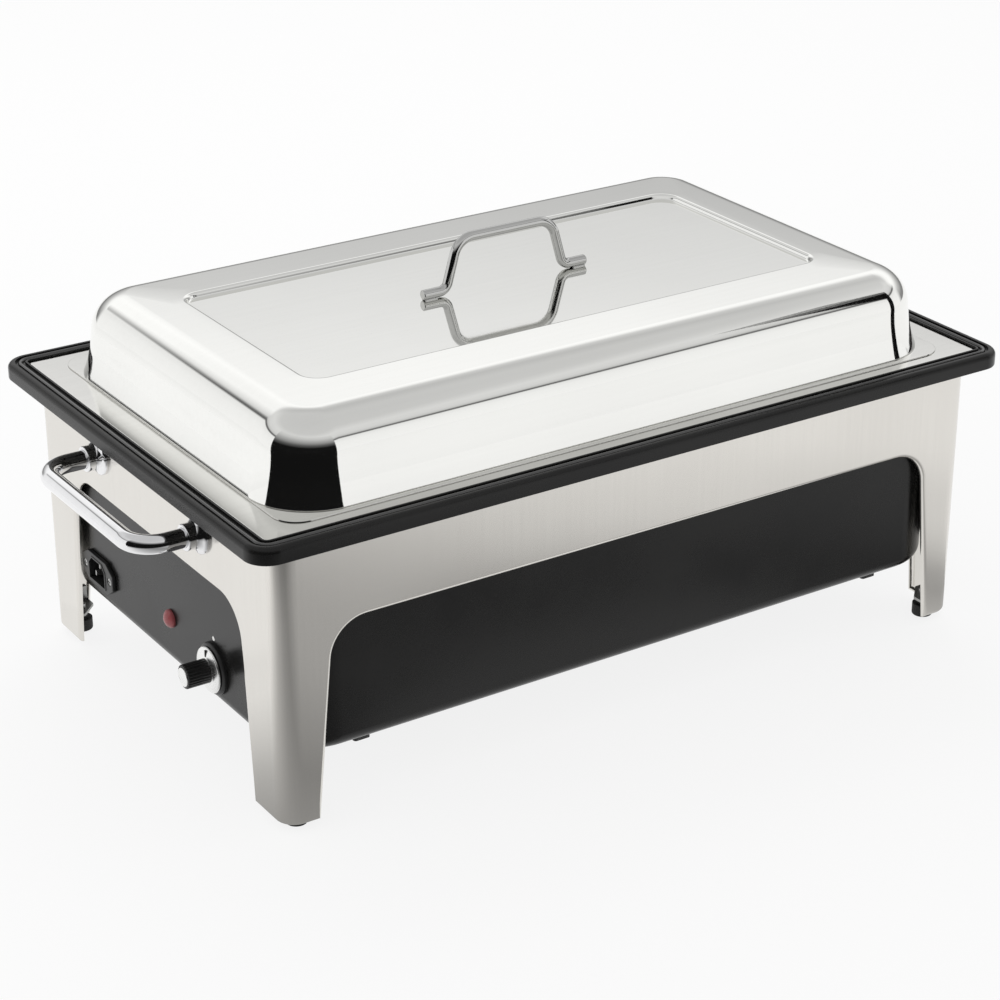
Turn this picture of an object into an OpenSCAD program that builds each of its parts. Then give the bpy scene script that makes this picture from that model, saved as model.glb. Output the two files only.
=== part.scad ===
// Electric chafing dish: a water bath in a black housing on a bright sheet-steel stand, with a lift-out food pan
// and a lift-off lid. Millimetres, +Z up, +X along the length away from the control end, front at -Y.
// The origin is on the floor, under the middle of the dish.

/* [Food pan] */
// Length of the food pan over its flange
pan_l = 530; // [480:1:580]
// Width of the food pan over its flange
pan_w = 325; // [290:1:360]
// Width of the food pan's flange
pan_flange = 13; // [11:0.5:16]
// Depth of the food pan
pan_depth = 65; // [40:1:85]
// Sheet thickness of the food pan
pan_t = 1; // [0.6:0.1:1.5]
// Corner radius of the pan's body
pan_r = 38; // [32:1:45]
// Corner radius of the pan's flange
pan_edge_r = 18; // [10:1:30]
// Radius between the pan's wall and floor
pan_base_r = 14; // [8:1:20]
// Lean of the pan's wall in degrees
pan_lean = 3; // [0:0.5:5]

/* [Lid] */
// How far the lid's end stands inside the pan's flange
lid_inset_x = 3; // [1:0.5:6]
// How far the lid's side stands inside the pan's flange
lid_inset_y = 7; // [3:0.5:9]
// Sheet thickness of the lid
lid_t = 1; // [0.6:0.1:1.5]
// Corner radius of the lid at its lower edge
lid_r = 42; // [38:1:60]
// Width of the turned-in lip that the lid stands on
lid_lip = 5; // [3:0.5:7]
// Height of the lid's skirt up to the crease
lid_skirt_h = 32; // [25:0.5:60]
// How far the skirt leans in up to the crease
lid_skirt_in = 3.2; // [2:0.1:6]
// Width of the rounded shoulder above the crease
lid_shoulder_w = 27; // [25:0.5:31]
// Height of the rounded shoulder above the crease
lid_shoulder_h = 24.4; // [16:0.1:25]
// Flat border between shoulder and sunk panel at the ends
panel_border_x = 26; // [10:0.5:40]
// Flat border between shoulder and sunk panel at the sides
panel_border_y = 34.5; // [10:0.5:45]
// Corner radius of the sunk panel
panel_r = 14; // [8:1:25]
// How deep the panel is sunk
panel_sink = 2.5; // [1:0.25:4]
// Width of the slope down to the panel
panel_slope = 4; // [2:0.5:6]
// Diameter of the lid handle's wire
wire_d = 7; // [5:0.5:9]
// Distance between the feet of the lid handle
wire_span = 96; // [80:1:120]
// Length of each welded foot of the lid handle
wire_foot = 19; // [12:1:25]
// Height of the lid handle's bar above the panel
wire_h = 39; // [32:1:55]
// Width of the lid handle between its upper bends
wire_top = 76; // [60:1:80]
// Bend radius at the feet of the lid handle
wire_foot_bend = 7; // [5:0.5:8]
// Bend radius at the top of the lid handle
wire_top_bend = 15; // [8:0.5:18]
// How much fuller the wire is in its bends
wire_swell = 0.02; // [0.01:0.01:0.05]
// Height of the weld seam under each foot of the lid handle
weld_h = 0.4; // [0.3:0.1:1]
// Width of the weld seam under each foot of the lid handle
weld_w = 4; // [2:0.25:4.5]

/* [Water bath] */
// Bath flange that shows past the food pan at each end
bath_ledge_x = 19; // [15:0.5:30]
// Bath flange that shows past the food pan at each side
bath_ledge_y = 9.5; // [6:0.5:15]
// Gap between the pan's body and the bath's wall
bath_clear = 4; // [2:0.5:5]
// Depth of the water bath
bath_depth = 100; // [95:1:130]
// Sheet thickness of the water bath
bath_t = 1; // [0.6:0.1:1.5]
// Radius between the bath's wall and floor
bath_base_r = 14; // [8:1:20]
// Lean of the bath's wall in degrees
bath_lean = 2; // [0:0.5:3]
// Corner radius of the bath's flange
bath_edge_r = 4; // [2:0.5:10]
// Thickness of the seal under the bath's flange
seal_t = 1; // [0.5:0.1:2]

/* [Housing] */
// Gap between the bath's flange and the rim
rim_gap = 1; // [0.5:0.1:2]
// Width of the rim
rim_w = 14; // [12:0.5:16]
// Corner radius of the rim's outside
rim_r = 17; // [17:0.5:24]
// How far the rim hangs below the stand's top edge
rim_drop = 5; // [3:0.5:10]
// Thickness of the rim's hanging edge
rim_wall = 3; // [2:0.25:4]
// Height of the rim above the ledge that carries the bath
rim_deck = 3.5; // [2.5:0.25:5]
// Radius of the rim's upper outer edge
rim_edge_r = 4; // [2:0.25:5]
// Radius of the bead along the rim
bead_r = 1.5; // [1:0.25:3]
// Distance from the rim's outside to the middle of the bead
bead_inset = 7; // [7:0.25:9]
// Thickness of the ledge that carries the bath
ledge_t = 3; // [2:0.25:5]
// Gap between stand and housing
housing_gap = 6; // [5.5:0.25:8]
// Wall thickness of the housing
housing_t = 2.5; // [2:0.25:4]
// Upright corner radius of the housing
housing_r = 40; // [34:1:44]
// Radius of the housing's lower edge
housing_base_r = 10; // [6:0.5:14]
// Width of the lip under the housing that carries the cover
base_lip = 25; // [22:0.5:28]
// Height of the space for electric parts under the bath
bay_h = 62; // [58:1:80]
// Length of the space for controls behind the control wall
bay_l = 61; // [58:1:80]

/* [Bottom cover] */
// Thickness of the bottom cover
cover_t = 1.2; // [0.8:0.1:2]
// Length of each lug under the cover
lug_l = 12; // [8:1:20]
// Width of each lug under the cover
lug_w = 8; // [5:0.5:12]
// Height of each lug under the cover
lug_h = 3; // [2:0.5:6]
// Distance of the lugs from the middle of the dish
lug_x = 212; // [170:1:220]
// Length of a vent slot
vent_l = 60; // [30:1:90]
// Width of a vent slot
vent_w = 4; // [2:0.5:6]
// Spacing of the vent slots
vent_step = 14; // [10:1:20]
// Number of vent slots in each row
vent_count = 7; // [3:1:9]

/* [Stand] */
// How far the stand's ends are set in under the rim
stand_inset_x = 20; // [18:0.5:24]
// How far the stand's sides are set in under the rim
stand_inset_y = 13.5; // [12:0.5:14]
// Height of the stand's top edge above the floor
stand_h = 203.5; // [190:0.5:240]
// Sheet thickness of the stand
stand_t = 1.2; // [0.8:0.1:1.6]
// Corner radius of the stand
stand_r = 14; // [12:0.5:20]
// Gap between the stand's turned-in flange and the housing
drop_in_clear = 1; // [0.5:0.25:2]
// Gap between the legs and the floor
leg_clear = 5; // [3:0.5:7]
// Height of the band above the arches
band_h = 62.5; // [55:0.5:80]
// Corner radius of the arches
arch_r = 26; // [15:1:40]
// Leg width on the long sides at the bottom
leg_side_low = 26; // [26:0.5:40]
// Leg width on the long sides at the arch
leg_side_top = 39.5; // [34:0.5:60]
// Leg width on the ends at the bottom
leg_end_low = 42.5; // [40:0.5:55]
// Leg width on the ends at the arch
leg_end_top = 54.2; // [44:0.1:60]
// Diameter of a foot's pad
foot_d = 15; // [14:0.5:18]
// Height of a foot's pad
foot_pad_h = 9; // [8:0.5:11]
// Diameter of a foot's neck
foot_neck_d = 9; // [8:0.5:11]
// Height of a foot with its neck
foot_h = 15; // [14:0.5:18]
// Radius of a foot's lower edge
foot_edge_r = 1.5; // [1:0.25:2]
// Distance from the inside of the stand's end to the middle of a foot
foot_in_x = 14; // [13:0.1:15]
// Distance from the inside of the stand's side to the middle of a foot
foot_in_y = 13; // [12.8:0.1:14.5]
// Thickness of the bracket over a foot
bracket_t = 2; // [1.5:0.25:3]
// Height of the bracket's welded tabs
bracket_tab = 12; // [8:0.5:20]
// Reach of the bracket along the stand's side
bracket_x = 24; // [22:0.5:24.5]
// Reach of the bracket along the stand's end
bracket_y = 24; // [22:0.5:28]

/* [Side handles] */
// Distance between the arms of a side handle
handle_pitch = 146; // [120:1:170]
// Distance of the side handles below the stand's top edge
handle_down = 30.5; // [26:0.5:40]
// Reach of a side handle from the stand to the middle of its bar
handle_reach = 43.5; // [40:0.5:60]
// Diameter of a side handle's bar
handle_d = 13; // [10:0.5:14]
// Bend radius of a side handle's bar
handle_bend = 20; // [12:1:24]
// Diameter of a handle boss
boss_d = 27; // [24:0.5:34]
// Thickness of a handle boss
boss_t = 4; // [3:0.5:6]
// Diameter of the collar on a handle boss
collar_d = 18; // [17:0.5:22]
// Length of the collar with the boss
collar_l = 12; // [9:0.5:15]
// Diameter of a handle screw
handle_screw_d = 5; // [4:0.5:6]

/* [Knob] */
// Distance of the knob's axis from the housing's front
knob_in = 96.3; // [85:0.1:105]
// Height of the knob's axis above the housing's underside
knob_up = 26.5; // [25:0.5:30]
// Diameter of the ring behind the knob
dial_d = 36; // [34:0.5:44]
// Thickness of the ring behind the knob
dial_t = 3.4; // [3.2:0.1:5]
// Diameter of the knob's bright skirt
skirt_d = 32; // [28:0.5:33.5]
// Thickness of the knob's bright skirt
skirt_t = 3; // [2:0.25:5]
// Gap between the turning knob and the ring behind it
knob_gap = 0.5; // [0.3:0.1:1]
// Diameter of the knob's grip
grip_d = 16.5; // [16:0.5:20]
// Length of the knob's grip
grip_l = 16; // [14:0.5:22]
// Number of flutes round the grip
flute_count = 24; // [12:1:30]
// Radius of a flute
flute_r = 0.7; // [0.4:0.1:1]
// Diameter of the knob's bright end cap
cap_d = 13; // [11:0.5:13]
// Thickness of the end cap
cap_t = 1.6; // [1:0.1:3]
// Depth of the seat of the end cap
cap_seat = 0.8; // [0.4:0.1:1]
// Diameter of the thermostat's shaft
shaft_d = 6; // [5:0.5:7]
// Gap between shaft and bush
shaft_gap = 0.05; // [0.02:0.01:0.1]
// Diameter of the thermostat's bush
bush_d = 10; // [9:0.5:12]
// Width across the flats of the bush's nut
nut_af = 14; // [13:0.5:16]
// Thickness of the bush's nut
nut_t = 3; // [2:0.25:3]

/* [Lamp and inlet] */
// Distance of the lamp from the middle of the control wall
lamp_y = -8; // [-14:1:0]
// Height of the lamp above the housing's underside
lamp_up = 36; // [33:0.5:40]
// Diameter of the lamp's lens
lens_d = 13; // [11:0.5:16]
// Thickness of the lens's edge
lens_edge = 1.5; // [1:0.1:3]
// Height of the lens's dome
lens_dome = 3.5; // [2:0.25:5]
// Diameter of the lens's neck
lens_neck_d = 9; // [7:0.5:10]
// Diameter of the lamp holder
lamp_d = 12; // [11:0.5:14]
// Length of the lamp holder
lamp_l = 22; // [18:0.5:26]
// Distance of the inlet from the housing's back
inlet_in = 65.3; // [65.3:0.1:75]
// Height of the inlet above the housing's underside
inlet_up = 26; // [24:0.5:30]
// Width of the inlet's flange over its ears
inlet_flange_w = 48; // [46:0.5:50]
// Height of the inlet's flange
inlet_flange_h = 24; // [22:0.5:28]
// Thickness of the inlet's flange
inlet_flange_t = 3; // [2:0.25:4]
// Distance between the inlet's screws
inlet_pitch = 38; // [37:0.5:40]
// Width of the inlet's body
inlet_w = 28; // [28:0.5:30]
// Height of the inlet's body
inlet_h = 20.5; // [20:0.5:22]
// Depth of the inlet's body behind the flange
inlet_d = 20; // [18:0.5:24]
// Width of the socket
socket_w = 24; // [23:0.25:25]
// Height of the socket
socket_h = 16.5; // [16:0.25:17]
// Depth of the socket
socket_d = 16; // [14:0.5:18]
// Cut across the socket's upper corners
socket_cut = 4.5; // [3:0.25:6]
// Distance between the outer contact pins
pin_pitch = 14; // [13:0.25:14.5]
// Height offset of the contact pins from the middle of the socket
pin_offset = 4; // [3:0.25:4]
// Width of a contact pin
pin_w = 2; // [1.5:0.25:2.5]
// Height of a contact pin
pin_h = 4; // [3:0.25:4.5]
// Length of a contact pin in the socket
pin_l = 14; // [12:0.5:15]
// Length of the tab behind a contact pin
tab_l = 8; // [6:0.5:8]

/* [Heating] */
// Width of the heat spreader
spreader_w = 230; // [210:1:240]
// Thickness of the heat spreader
spreader_t = 3; // [2:0.25:4]
// Corner radius of the heat spreader
spreader_r = 10; // [4:1:20]
// Diameter of the heating element's tube
element_d = 8; // [6.5:0.5:9]
// Flat pressed on the top and bottom of the element
element_flat = 0.5; // [0.25:0.05:0.8]
// Bend radius of the heating element
element_bend = 20; // [14:1:22]
// Distance of the element's outer runs from the housing's side walls
element_side = 88.3; // [84:0.1:92]
// Distance of the element's inner end from the middle
element_end = 30; // [25:1:34]
// Margin between the element's loop and the ends of the spreader
element_margin = 30; // [20:1:60]
// How far the element's ends stand out past the spreader
element_tail = 5; // [3:0.5:7]
// Width of a clamp bar
clamp_w = 18; // [12:1:25]
// Thickness of a clamp bar
clamp_t = 3; // [2:0.25:4]
// Distance of the clamp bars from the middle
clamp_x = 90; // [60:1:110]
// Distance of the clamp studs from the middle
stud_y = 45; // [40:1:50]
// Diameter of a clamp stud
stud_d = 5; // [4:0.5:6]
// Thickness of a clamp nut
stud_nut_t = 4; // [3:0.25:5]
// Diameter of the sensor bulb
bulb_d = 6; // [4:0.5:6]
// Length of the sensor bulb
bulb_l = 70; // [50:1:90]
// Diameter of the capillary tube
capillary_d = 1.6; // [1.2:0.1:2.5]
// Diameter of the thermal cut-out
cutout_d = 16; // [12:0.5:20]
// Height of the thermal cut-out
cutout_h = 8; // [5:0.5:10]
// Gap between the insulation and what hangs over it
insulation_gap = 5; // [2:0.5:10]
// Play between the insulation and the edge of the housing's base opening
insulation_play = 1; // [0.5:0.25:2]

/* [Controls inside] */
// Depth of the thermostat behind the control wall
thermostat_l = 24; // [20:0.5:26]
// Width of the thermostat
thermostat_w = 38; // [36:0.5:42]
// Height of the thermostat
thermostat_h = 32; // [28:0.5:33]
// Depth of the shaft's bore in the thermostat
shaft_bore = 10; // [6:0.5:14]
// Distance of the terminal block from the control wall
block_in = 33; // [32:0.5:36]
// Length of the terminal block along the wall
block_w = 60; // [50:1:64]
// Thickness of the terminal block
block_l = 24; // [20:0.5:24]
// Height of the terminal block
block_h = 23; // [20:0.5:24]
// Distance of the terminal block's middle from the middle of the dish
block_y = 15; // [10:1:18]
// Diameter of an internal lead
lead_d = 2.4; // [1.6:0.1:3]
// Bend radius of an internal lead
lead_bend = 4.5; // [4:0.25:5]

/* [Fasteners] */
// Gap round a screw in its hole
screw_gap = 0.05; // [0.02:0.01:0.1]
// Diameter of a small screw
screw_d = 3; // [2.5:0.25:3.5]
// Head diameter of a small screw
screw_head_d = 5.6; // [5:0.1:6.5]
// Head height of a small screw
screw_head_h = 2; // [1.5:0.1:3]
// Length of a small screw under its head
screw_l = 7; // [6:0.5:8]
// Diameter of a foot screw
foot_screw_d = 3.5; // [3:0.25:4]
// Thickness of a foot nut
foot_nut_t = 3.2; // [2.5:0.1:5]

/* [Hidden] */
$fn = 64;

// Plan sizes, worked outwards from the food pan
pan_body_l = pan_l - 2 * pan_flange;
pan_body_w = pan_w - 2 * pan_flange;
bath_r = pan_r + bath_clear + bath_t;
bath_body_l = pan_body_l + 2 * bath_clear + 2 * bath_t;
bath_body_w = pan_body_w + 2 * bath_clear + 2 * bath_t;
bath_flange_l = pan_l + 2 * bath_ledge_x;
bath_flange_w = pan_w + 2 * bath_ledge_y;
rim_outer_l = bath_flange_l + 2 * rim_gap + 2 * rim_w;
rim_outer_w = bath_flange_w + 2 * rim_gap + 2 * rim_w;
stand_l = rim_outer_l - 2 * stand_inset_x;
stand_w = rim_outer_w - 2 * stand_inset_y;
housing_l = stand_l - 2 * stand_t - 2 * housing_gap;
housing_w = stand_w - 2 * stand_t - 2 * housing_gap;
cover_l = housing_l - 2 * housing_base_r;
cover_w = housing_w - 2 * housing_base_r;
lid_l = pan_l - 2 * lid_inset_x;
lid_w = pan_w - 2 * lid_inset_y;
lid_flat_in = lid_skirt_in + lid_shoulder_w;
lid_flat_l = lid_l - 2 * lid_flat_in;
lid_flat_w = lid_w - 2 * lid_flat_in;
panel_l = lid_flat_l - 2 * panel_border_x;
panel_w = lid_flat_w - 2 * panel_border_y;

// Levels
ledge_z = stand_h + ledge_t;
bath_z = ledge_z + seal_t + bath_t;
bath_floor_z = bath_z - bath_depth;
pan_z = bath_z + pan_t;
lid_z = pan_z;
lid_flat_z = lid_z + lid_skirt_h + lid_shoulder_h;
panel_z = lid_flat_z - panel_sink;
rim_z = stand_h - rim_drop;
deck_z = ledge_z + rim_deck;
housing_z = bath_floor_z - bay_h;
cover_z = housing_z - cover_t;
arch_z = stand_h - band_h;
handle_z = stand_h - handle_down;
spreader_z = bath_floor_z - spreader_t;
element_h = element_d - 2 * element_flat;
element_z = spreader_z - element_h / 2;
clamp_z = spreader_z - element_h - clamp_t;
stud_z = clamp_z - stud_nut_t;
knob_z = housing_z + knob_up;
lamp_z = housing_z + lamp_up;
inlet_z = housing_z + inlet_up;
pin_z = inlet_z - pin_offset;
earth_pin_z = inlet_z + pin_offset;

// Places along the control end, which looks towards -X
wall_x = -housing_l / 2;
bay_x = wall_x + housing_t;
knob_y = knob_in - housing_w / 2;
inlet_y = housing_w / 2 - inlet_in;
knob_x = wall_x - dial_t - knob_gap;
grip_x = knob_x - skirt_t;
thermostat_x = bay_x + thermostat_l;
block_x = bay_x + block_in;
inlet_tab_x = wall_x + inlet_d + tab_l;
lamp_end_x = bay_x + lamp_l;
spreader_x = bay_x + bay_l;
spreader_l = -2 * spreader_x;
element_tail_x = spreader_x - element_tail;
element_loop_x = spreader_l / 2 - element_margin;
capillary_y = knob_y + thermostat_w / 2 - bulb_d;
bulb_x = spreader_x + bulb_d;
capillary_x = thermostat_x - thermostat_l / 2;
element_run = housing_w / 2 - element_side;
heater_lead_y = -element_run;
lead_x = block_x + block_l / 2;
spigot_d = shaft_d + 6;
thread_gap = 2 * screw_gap;
mark = 0.01;

function polar(r, a) = [r * cos(a), r * sin(a)];
function unit(v) = v / norm(v);
function turn(a, b) = atan2(a.x * b.y - a.y * b.x, a.x * b.x + a.y * b.y);
function bend_at(bend, i) = is_list(bend) ? bend[i - 1] : bend;
function bend_cut(p, i, bend) =
    i <= 0 || i >= len(p) - 1 ? 0
    : bend_at(bend, i) * tan(abs(turn(p[i] - p[i - 1], p[i + 1] - p[i])) / 2);

// Rounded rectangle outline, centred
module rounded_outline(l, w, r) {
    square([l - 2 * r, w], center = true);
    square([l, w - 2 * r], center = true);
    for (sx = [-1, 1], sy = [-1, 1])
        translate([sx * (l / 2 - r), sy * (w / 2 - r)])
            circle(r);
}

// Flat plate with rounded corners, standing on z
module rounded_plate(l, w, r, z, t) {
    translate([0, 0, z])
        linear_extrude(t)
            rounded_outline(l, w, r);
}

// Carries a wall section round a rounded rectangle; the section's x starts at the corners' centres
module swept_wall(l, w, r) {
    for (k = [0 : 3]) {
        along = k % 2 == 0 ? l : w;
        across = k % 2 == 0 ? w : l;
        rotate([0, 0, 90 * k]) {
            translate([along / 2 - r, 0, 0])
                rotate([90, 0, 0])
                    linear_extrude(across - 2 * r, center = true)
                        children();
            translate([along / 2 - r, across / 2 - r, 0])
                rotate_extrude(angle = 90)
                    children();
        }
    }
}

// Part of a ring in a section, from angle a0 to angle a1
module arc_band(c, r, t, a0, a1) {
    translate(c)
        intersection() {
            difference() {
                circle(r);
                circle(r - t);
            }
            polygon([[0, 0], polar(2 * r, a0), polar(2 * r, (a0 + a1) / 2), polar(2 * r, a1)]);
        }
}

// Section of a drawn pan below z = 0: leaning wall and rounded base
module pan_section(r, depth, lean, base_r, t) {
    c = [pan_floor_r(r, depth, lean, base_r), base_r - depth];
    polygon([[r, 0], c + polar(base_r, -lean), c + polar(base_r - t, -lean), [r - t / cos(lean), 0]]);
    arc_band(c, base_r, t, -90, -lean);
}
function pan_floor_r(r, depth, lean, base_r) = r + (base_r - depth) * tan(lean) - base_r / cos(lean);

// Drawn pan with its flange on top at z
module drawn_pan(l, w, r, depth, lean, base_r, t, flange_l, flange_w, flange_r, z) {
    floor_r = pan_floor_r(r, depth, lean, base_r);
    drop = r - floor_r;
    translate([0, 0, z]) {
        swept_wall(l, w, r)
            pan_section(r, depth, lean, base_r, t);
        rounded_plate(l - 2 * drop, w - 2 * drop, floor_r, -depth, t);
        difference() {
            rounded_plate(flange_l, flange_w, flange_r, -t, t);
            rounded_plate(l - 2 * t, w - 2 * t, r - t, -2 * t, 3 * t);
        }
    }
}

// Round bar along flat points in the XY plane, with one bend radius or a list of them;
// swell makes the bends a little fuller, as in bent wire, and the straight runs then reach into them
module bent_bar(p, bend, d, swell = 0) {
    last = len(p) - 1;
    reach = swell > 0 ? sqrt(swell * min(bend)) : 0;
    for (i = [0 : last - 1]) {
        way = unit(p[i + 1] - p[i]);
        back = i > 0 ? reach : 0;
        ahead = i + 1 < last ? reach : 0;
        start = p[i] + way * (bend_cut(p, i, bend) - back);
        run = norm(p[i + 1] - p[i]) - bend_cut(p, i, bend) - bend_cut(p, i + 1, bend);
        translate([start.x, start.y, 0])
            rotate([0, 0, atan2(way.y, way.x)])
                rotate([0, 90, 0])
                    cylinder(d = d, h = run + back + ahead);
    }
    for (i = [1 : last - 1]) {
        way = unit(p[i] - p[i - 1]);
        angle = turn(way, p[i + 1] - p[i]);
        side = sign(angle);
        r = bend_at(bend, i);
        c = p[i] - way * bend_cut(p, i, bend) + side * r * [-way.y, way.x];
        translate([c.x, c.y, 0])
            rotate([0, 0, atan2(way.y, way.x) - side * 90])
                rotate_extrude(angle = angle)
                    translate([r, 0])
                        circle(d = d + 2 * swell);
    }
}

// Bent bar with its points in the XZ plane at y
module upright_bar(p, y, bend, d, swell = 0) {
    translate([0, y, 0])
        rotate([90, 0, 0])
            bent_bar(p, bend, d, swell);
}

// Cylinder along +X from x
module x_rod(x, y, z, d, l) {
    translate([x, y, z])
        rotate([0, 90, 0])
            cylinder(d = d, h = l);
}

// Hexagonal nut standing on z with a hole
module nut(af, t, hole_d) {
    difference() {
        cylinder(d = af / cos(30), h = t, $fn = 6);
        translate([0, 0, -t])
            cylinder(d = hole_d, h = 3 * t);
    }
}

// Arch cut with leaning sides and rounded upper corners; y of the outline is height
module arch_outline(half_low, half_top, z_low, z_top, r) {
    lean = atan((half_low - half_top) / (z_top - z_low));
    c = [half_top - r * (1 - sin(lean)) / cos(lean), z_top - r];
    edge = c + polar(r, lean);
    polygon([[-half_low, z_low], [-edge.x, edge.y], [-c.x, z_top], [c.x, z_top], [edge.x, edge.y], [half_low, z_low]]);
    for (s = [-1, 1])
        translate([s * c.x, c.y])
            circle(r);
}

// Puts a copy at each corner of the stand, mirrored to suit
module at_legs() {
    for (sx = [-1, 1], sy = [-1, 1])
        translate([sx * (stand_l / 2 - stand_t), sy * (stand_w / 2 - stand_t), 0])
            mirror([sx > 0 ? 1 : 0, 0, 0])
                mirror([0, sy > 0 ? 1 : 0, 0])
                    children();
}

// Puts a copy at each screw of the bottom cover
module at_cover_screws() {
    x_in = housing_l / 2 - (housing_base_r + base_lip) / 2;
    y_in = housing_w / 2 - (housing_base_r + base_lip) / 2;
    for (sx = [-1, 1], sy = [-1, 1]) {
        translate([sx * x_in, sy * y_in / 2, 0])
            children();
        translate([sx * x_in * 0.6, sy * y_in, 0])
            children();
    }
}

// Puts a copy at each arm of both side handles, with +Z pointing away from the dish
module at_handle_arms() {
    for (sx = [-1, 1], sy = [-1, 1])
        translate([sx * stand_l / 2, sy * handle_pitch / 2, handle_z])
            rotate([0, sx * 90, 0])
                children();
}

// Puts a copy at each screw of the power inlet
module at_inlet_screws() {
    for (s = [-1, 1])
        translate([wall_x - inlet_flange_t, inlet_y + s * inlet_pitch / 2, inlet_z])
            rotate([0, 90, 0])
                children();
}

module stand() {
    skirt_h = stand_h - leg_clear;
    low = leg_clear - 1;
    flange_in = stand_t + housing_gap - drop_in_clear;
    color("silver") {
        difference() {
            translate([0, 0, leg_clear])
                linear_extrude(skirt_h)
                    difference() {
                        rounded_outline(stand_l, stand_w, stand_r);
                        rounded_outline(stand_l - 2 * stand_t, stand_w - 2 * stand_t, stand_r - stand_t);
                    }
            rotate([90, 0, 0])
                linear_extrude(2 * stand_w, center = true)
                    arch_outline(stand_l / 2 - leg_side_low, stand_l / 2 - leg_side_top, low, arch_z, arch_r);
            rotate([90, 0, 90])
                linear_extrude(2 * stand_l, center = true)
                    arch_outline(stand_w / 2 - leg_end_low, stand_w / 2 - leg_end_top, low, arch_z, arch_r);
            at_handle_arms()
                translate([0, 0, -3 * stand_t])
                    cylinder(d = handle_screw_d + thread_gap, h = 6 * stand_t);
        }
        difference() {
            rounded_plate(stand_l - 2 * stand_t, stand_w - 2 * stand_t, stand_r - stand_t, stand_h - stand_t, stand_t);
            rounded_plate(
                stand_l - 2 * flange_in, stand_w - 2 * flange_in, stand_r - stand_t, stand_h - 2 * stand_t, 3 * stand_t
            );
        }
    }
}

module foot_brackets() {
    round_in = stand_r - stand_t;
    top = foot_h + bracket_tab;
    color("dimgray")
        at_legs() {
            difference() {
                translate([0, 0, foot_h])
                    linear_extrude(bracket_t)
                        polygon([
                            [0, round_in], [round_in, 0], [bracket_x, 0],
                            [bracket_x, bracket_y / 2], [bracket_x / 2, bracket_y], [0, bracket_y]
                        ]);
                translate([foot_in_x, foot_in_y, 0])
                    cylinder(d = foot_screw_d + thread_gap, h = top);
            }
            translate([round_in, 0, foot_h])
                cube([bracket_x - round_in, bracket_t, bracket_tab]);
            translate([0, round_in, foot_h])
                cube([bracket_t, bracket_y - round_in, bracket_tab]);
        }
}

module rubber_feet() {
    seat = foot_pad_h / 2;
    color([0.06, 0.06, 0.06])
        at_legs()
            translate([foot_in_x, foot_in_y, 0])
                rotate_extrude()
                    difference() {
                        union() {
                            square([foot_neck_d / 2, foot_h]);
                            square([foot_d / 2 - foot_edge_r, foot_pad_h]);
                            translate([0, foot_edge_r])
                                square([foot_d / 2, foot_pad_h - foot_edge_r]);
                            translate([foot_d / 2 - foot_edge_r, foot_edge_r])
                                circle(foot_edge_r);
                        }
                        translate([-foot_d, -foot_h])
                            square([foot_d + foot_screw_d / 2 + screw_gap, 3 * foot_h]);
                        translate([0, -foot_h])
                            square([foot_screw_d, foot_h + seat]);
                    }
}

module foot_screws() {
    head_h = foot_pad_h / 4;
    seat = foot_pad_h / 2;
    plate_z = foot_h + bracket_t;
    color("gray")
        at_legs()
            translate([foot_in_x, foot_in_y, 0]) {
                translate([0, 0, seat - head_h])
                    cylinder(d = 2 * foot_screw_d - thread_gap, h = head_h);
                translate([0, 0, seat])
                    cylinder(d = foot_screw_d, h = plate_z + foot_nut_t - seat + 1);
                translate([0, 0, plate_z])
                    nut(2 * foot_screw_d - 1, foot_nut_t, foot_screw_d);
            }
}

module rim_section() {
    translate([rim_r - rim_wall, rim_z])
        square([rim_wall, deck_z - rim_edge_r - rim_z]);
    translate([rim_r - rim_w, ledge_z])
        square([rim_w - rim_edge_r, rim_deck]);
    translate([rim_r - rim_edge_r, deck_z - rim_edge_r])
        circle(rim_edge_r);
    translate([rim_r - bead_inset, deck_z])
        circle(bead_r);
}

module housing_section() {
    translate([housing_r - housing_t, housing_z + housing_base_r])
        square([housing_t, stand_h - housing_z - housing_base_r]);
    arc_band([housing_r - housing_base_r, housing_z + housing_base_r], housing_base_r, housing_t, -90, 0);
    translate([housing_r - base_lip, housing_z])
        square([base_lip - housing_base_r, housing_t]);
}

module housing() {
    inner_l = housing_l - 2 * housing_t;
    inner_w = housing_w - 2 * housing_t;
    color([0.16, 0.16, 0.17])
        difference() {
            union() {
                swept_wall(rim_outer_l, rim_outer_w, rim_r)
                    rim_section();
                difference() {
                    rounded_plate(
                        rim_outer_l - 2 * rim_wall, rim_outer_w - 2 * rim_wall, rim_r - rim_wall, stand_h, ledge_t
                    );
                    rounded_plate(inner_l, inner_w, housing_r - housing_t, stand_h - ledge_t, 3 * ledge_t);
                }
                swept_wall(housing_l, housing_w, housing_r)
                    housing_section();
            }
            x_rod(wall_x - housing_t, knob_y, knob_z, bush_d + thread_gap, 3 * housing_t);
            x_rod(wall_x - housing_t, lamp_y, lamp_z, lens_neck_d + thread_gap, 3 * housing_t);
            translate([wall_x, inlet_y, inlet_z])
                cube([3 * housing_t, inlet_w + thread_gap, inlet_h + thread_gap], center = true);
            at_inlet_screws()
                cylinder(d = screw_d + thread_gap, h = 4 * housing_t);
            at_cover_screws()
                translate([0, 0, housing_z - housing_t])
                    cylinder(d = screw_d + thread_gap, h = 3 * housing_t);
        }
}

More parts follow.
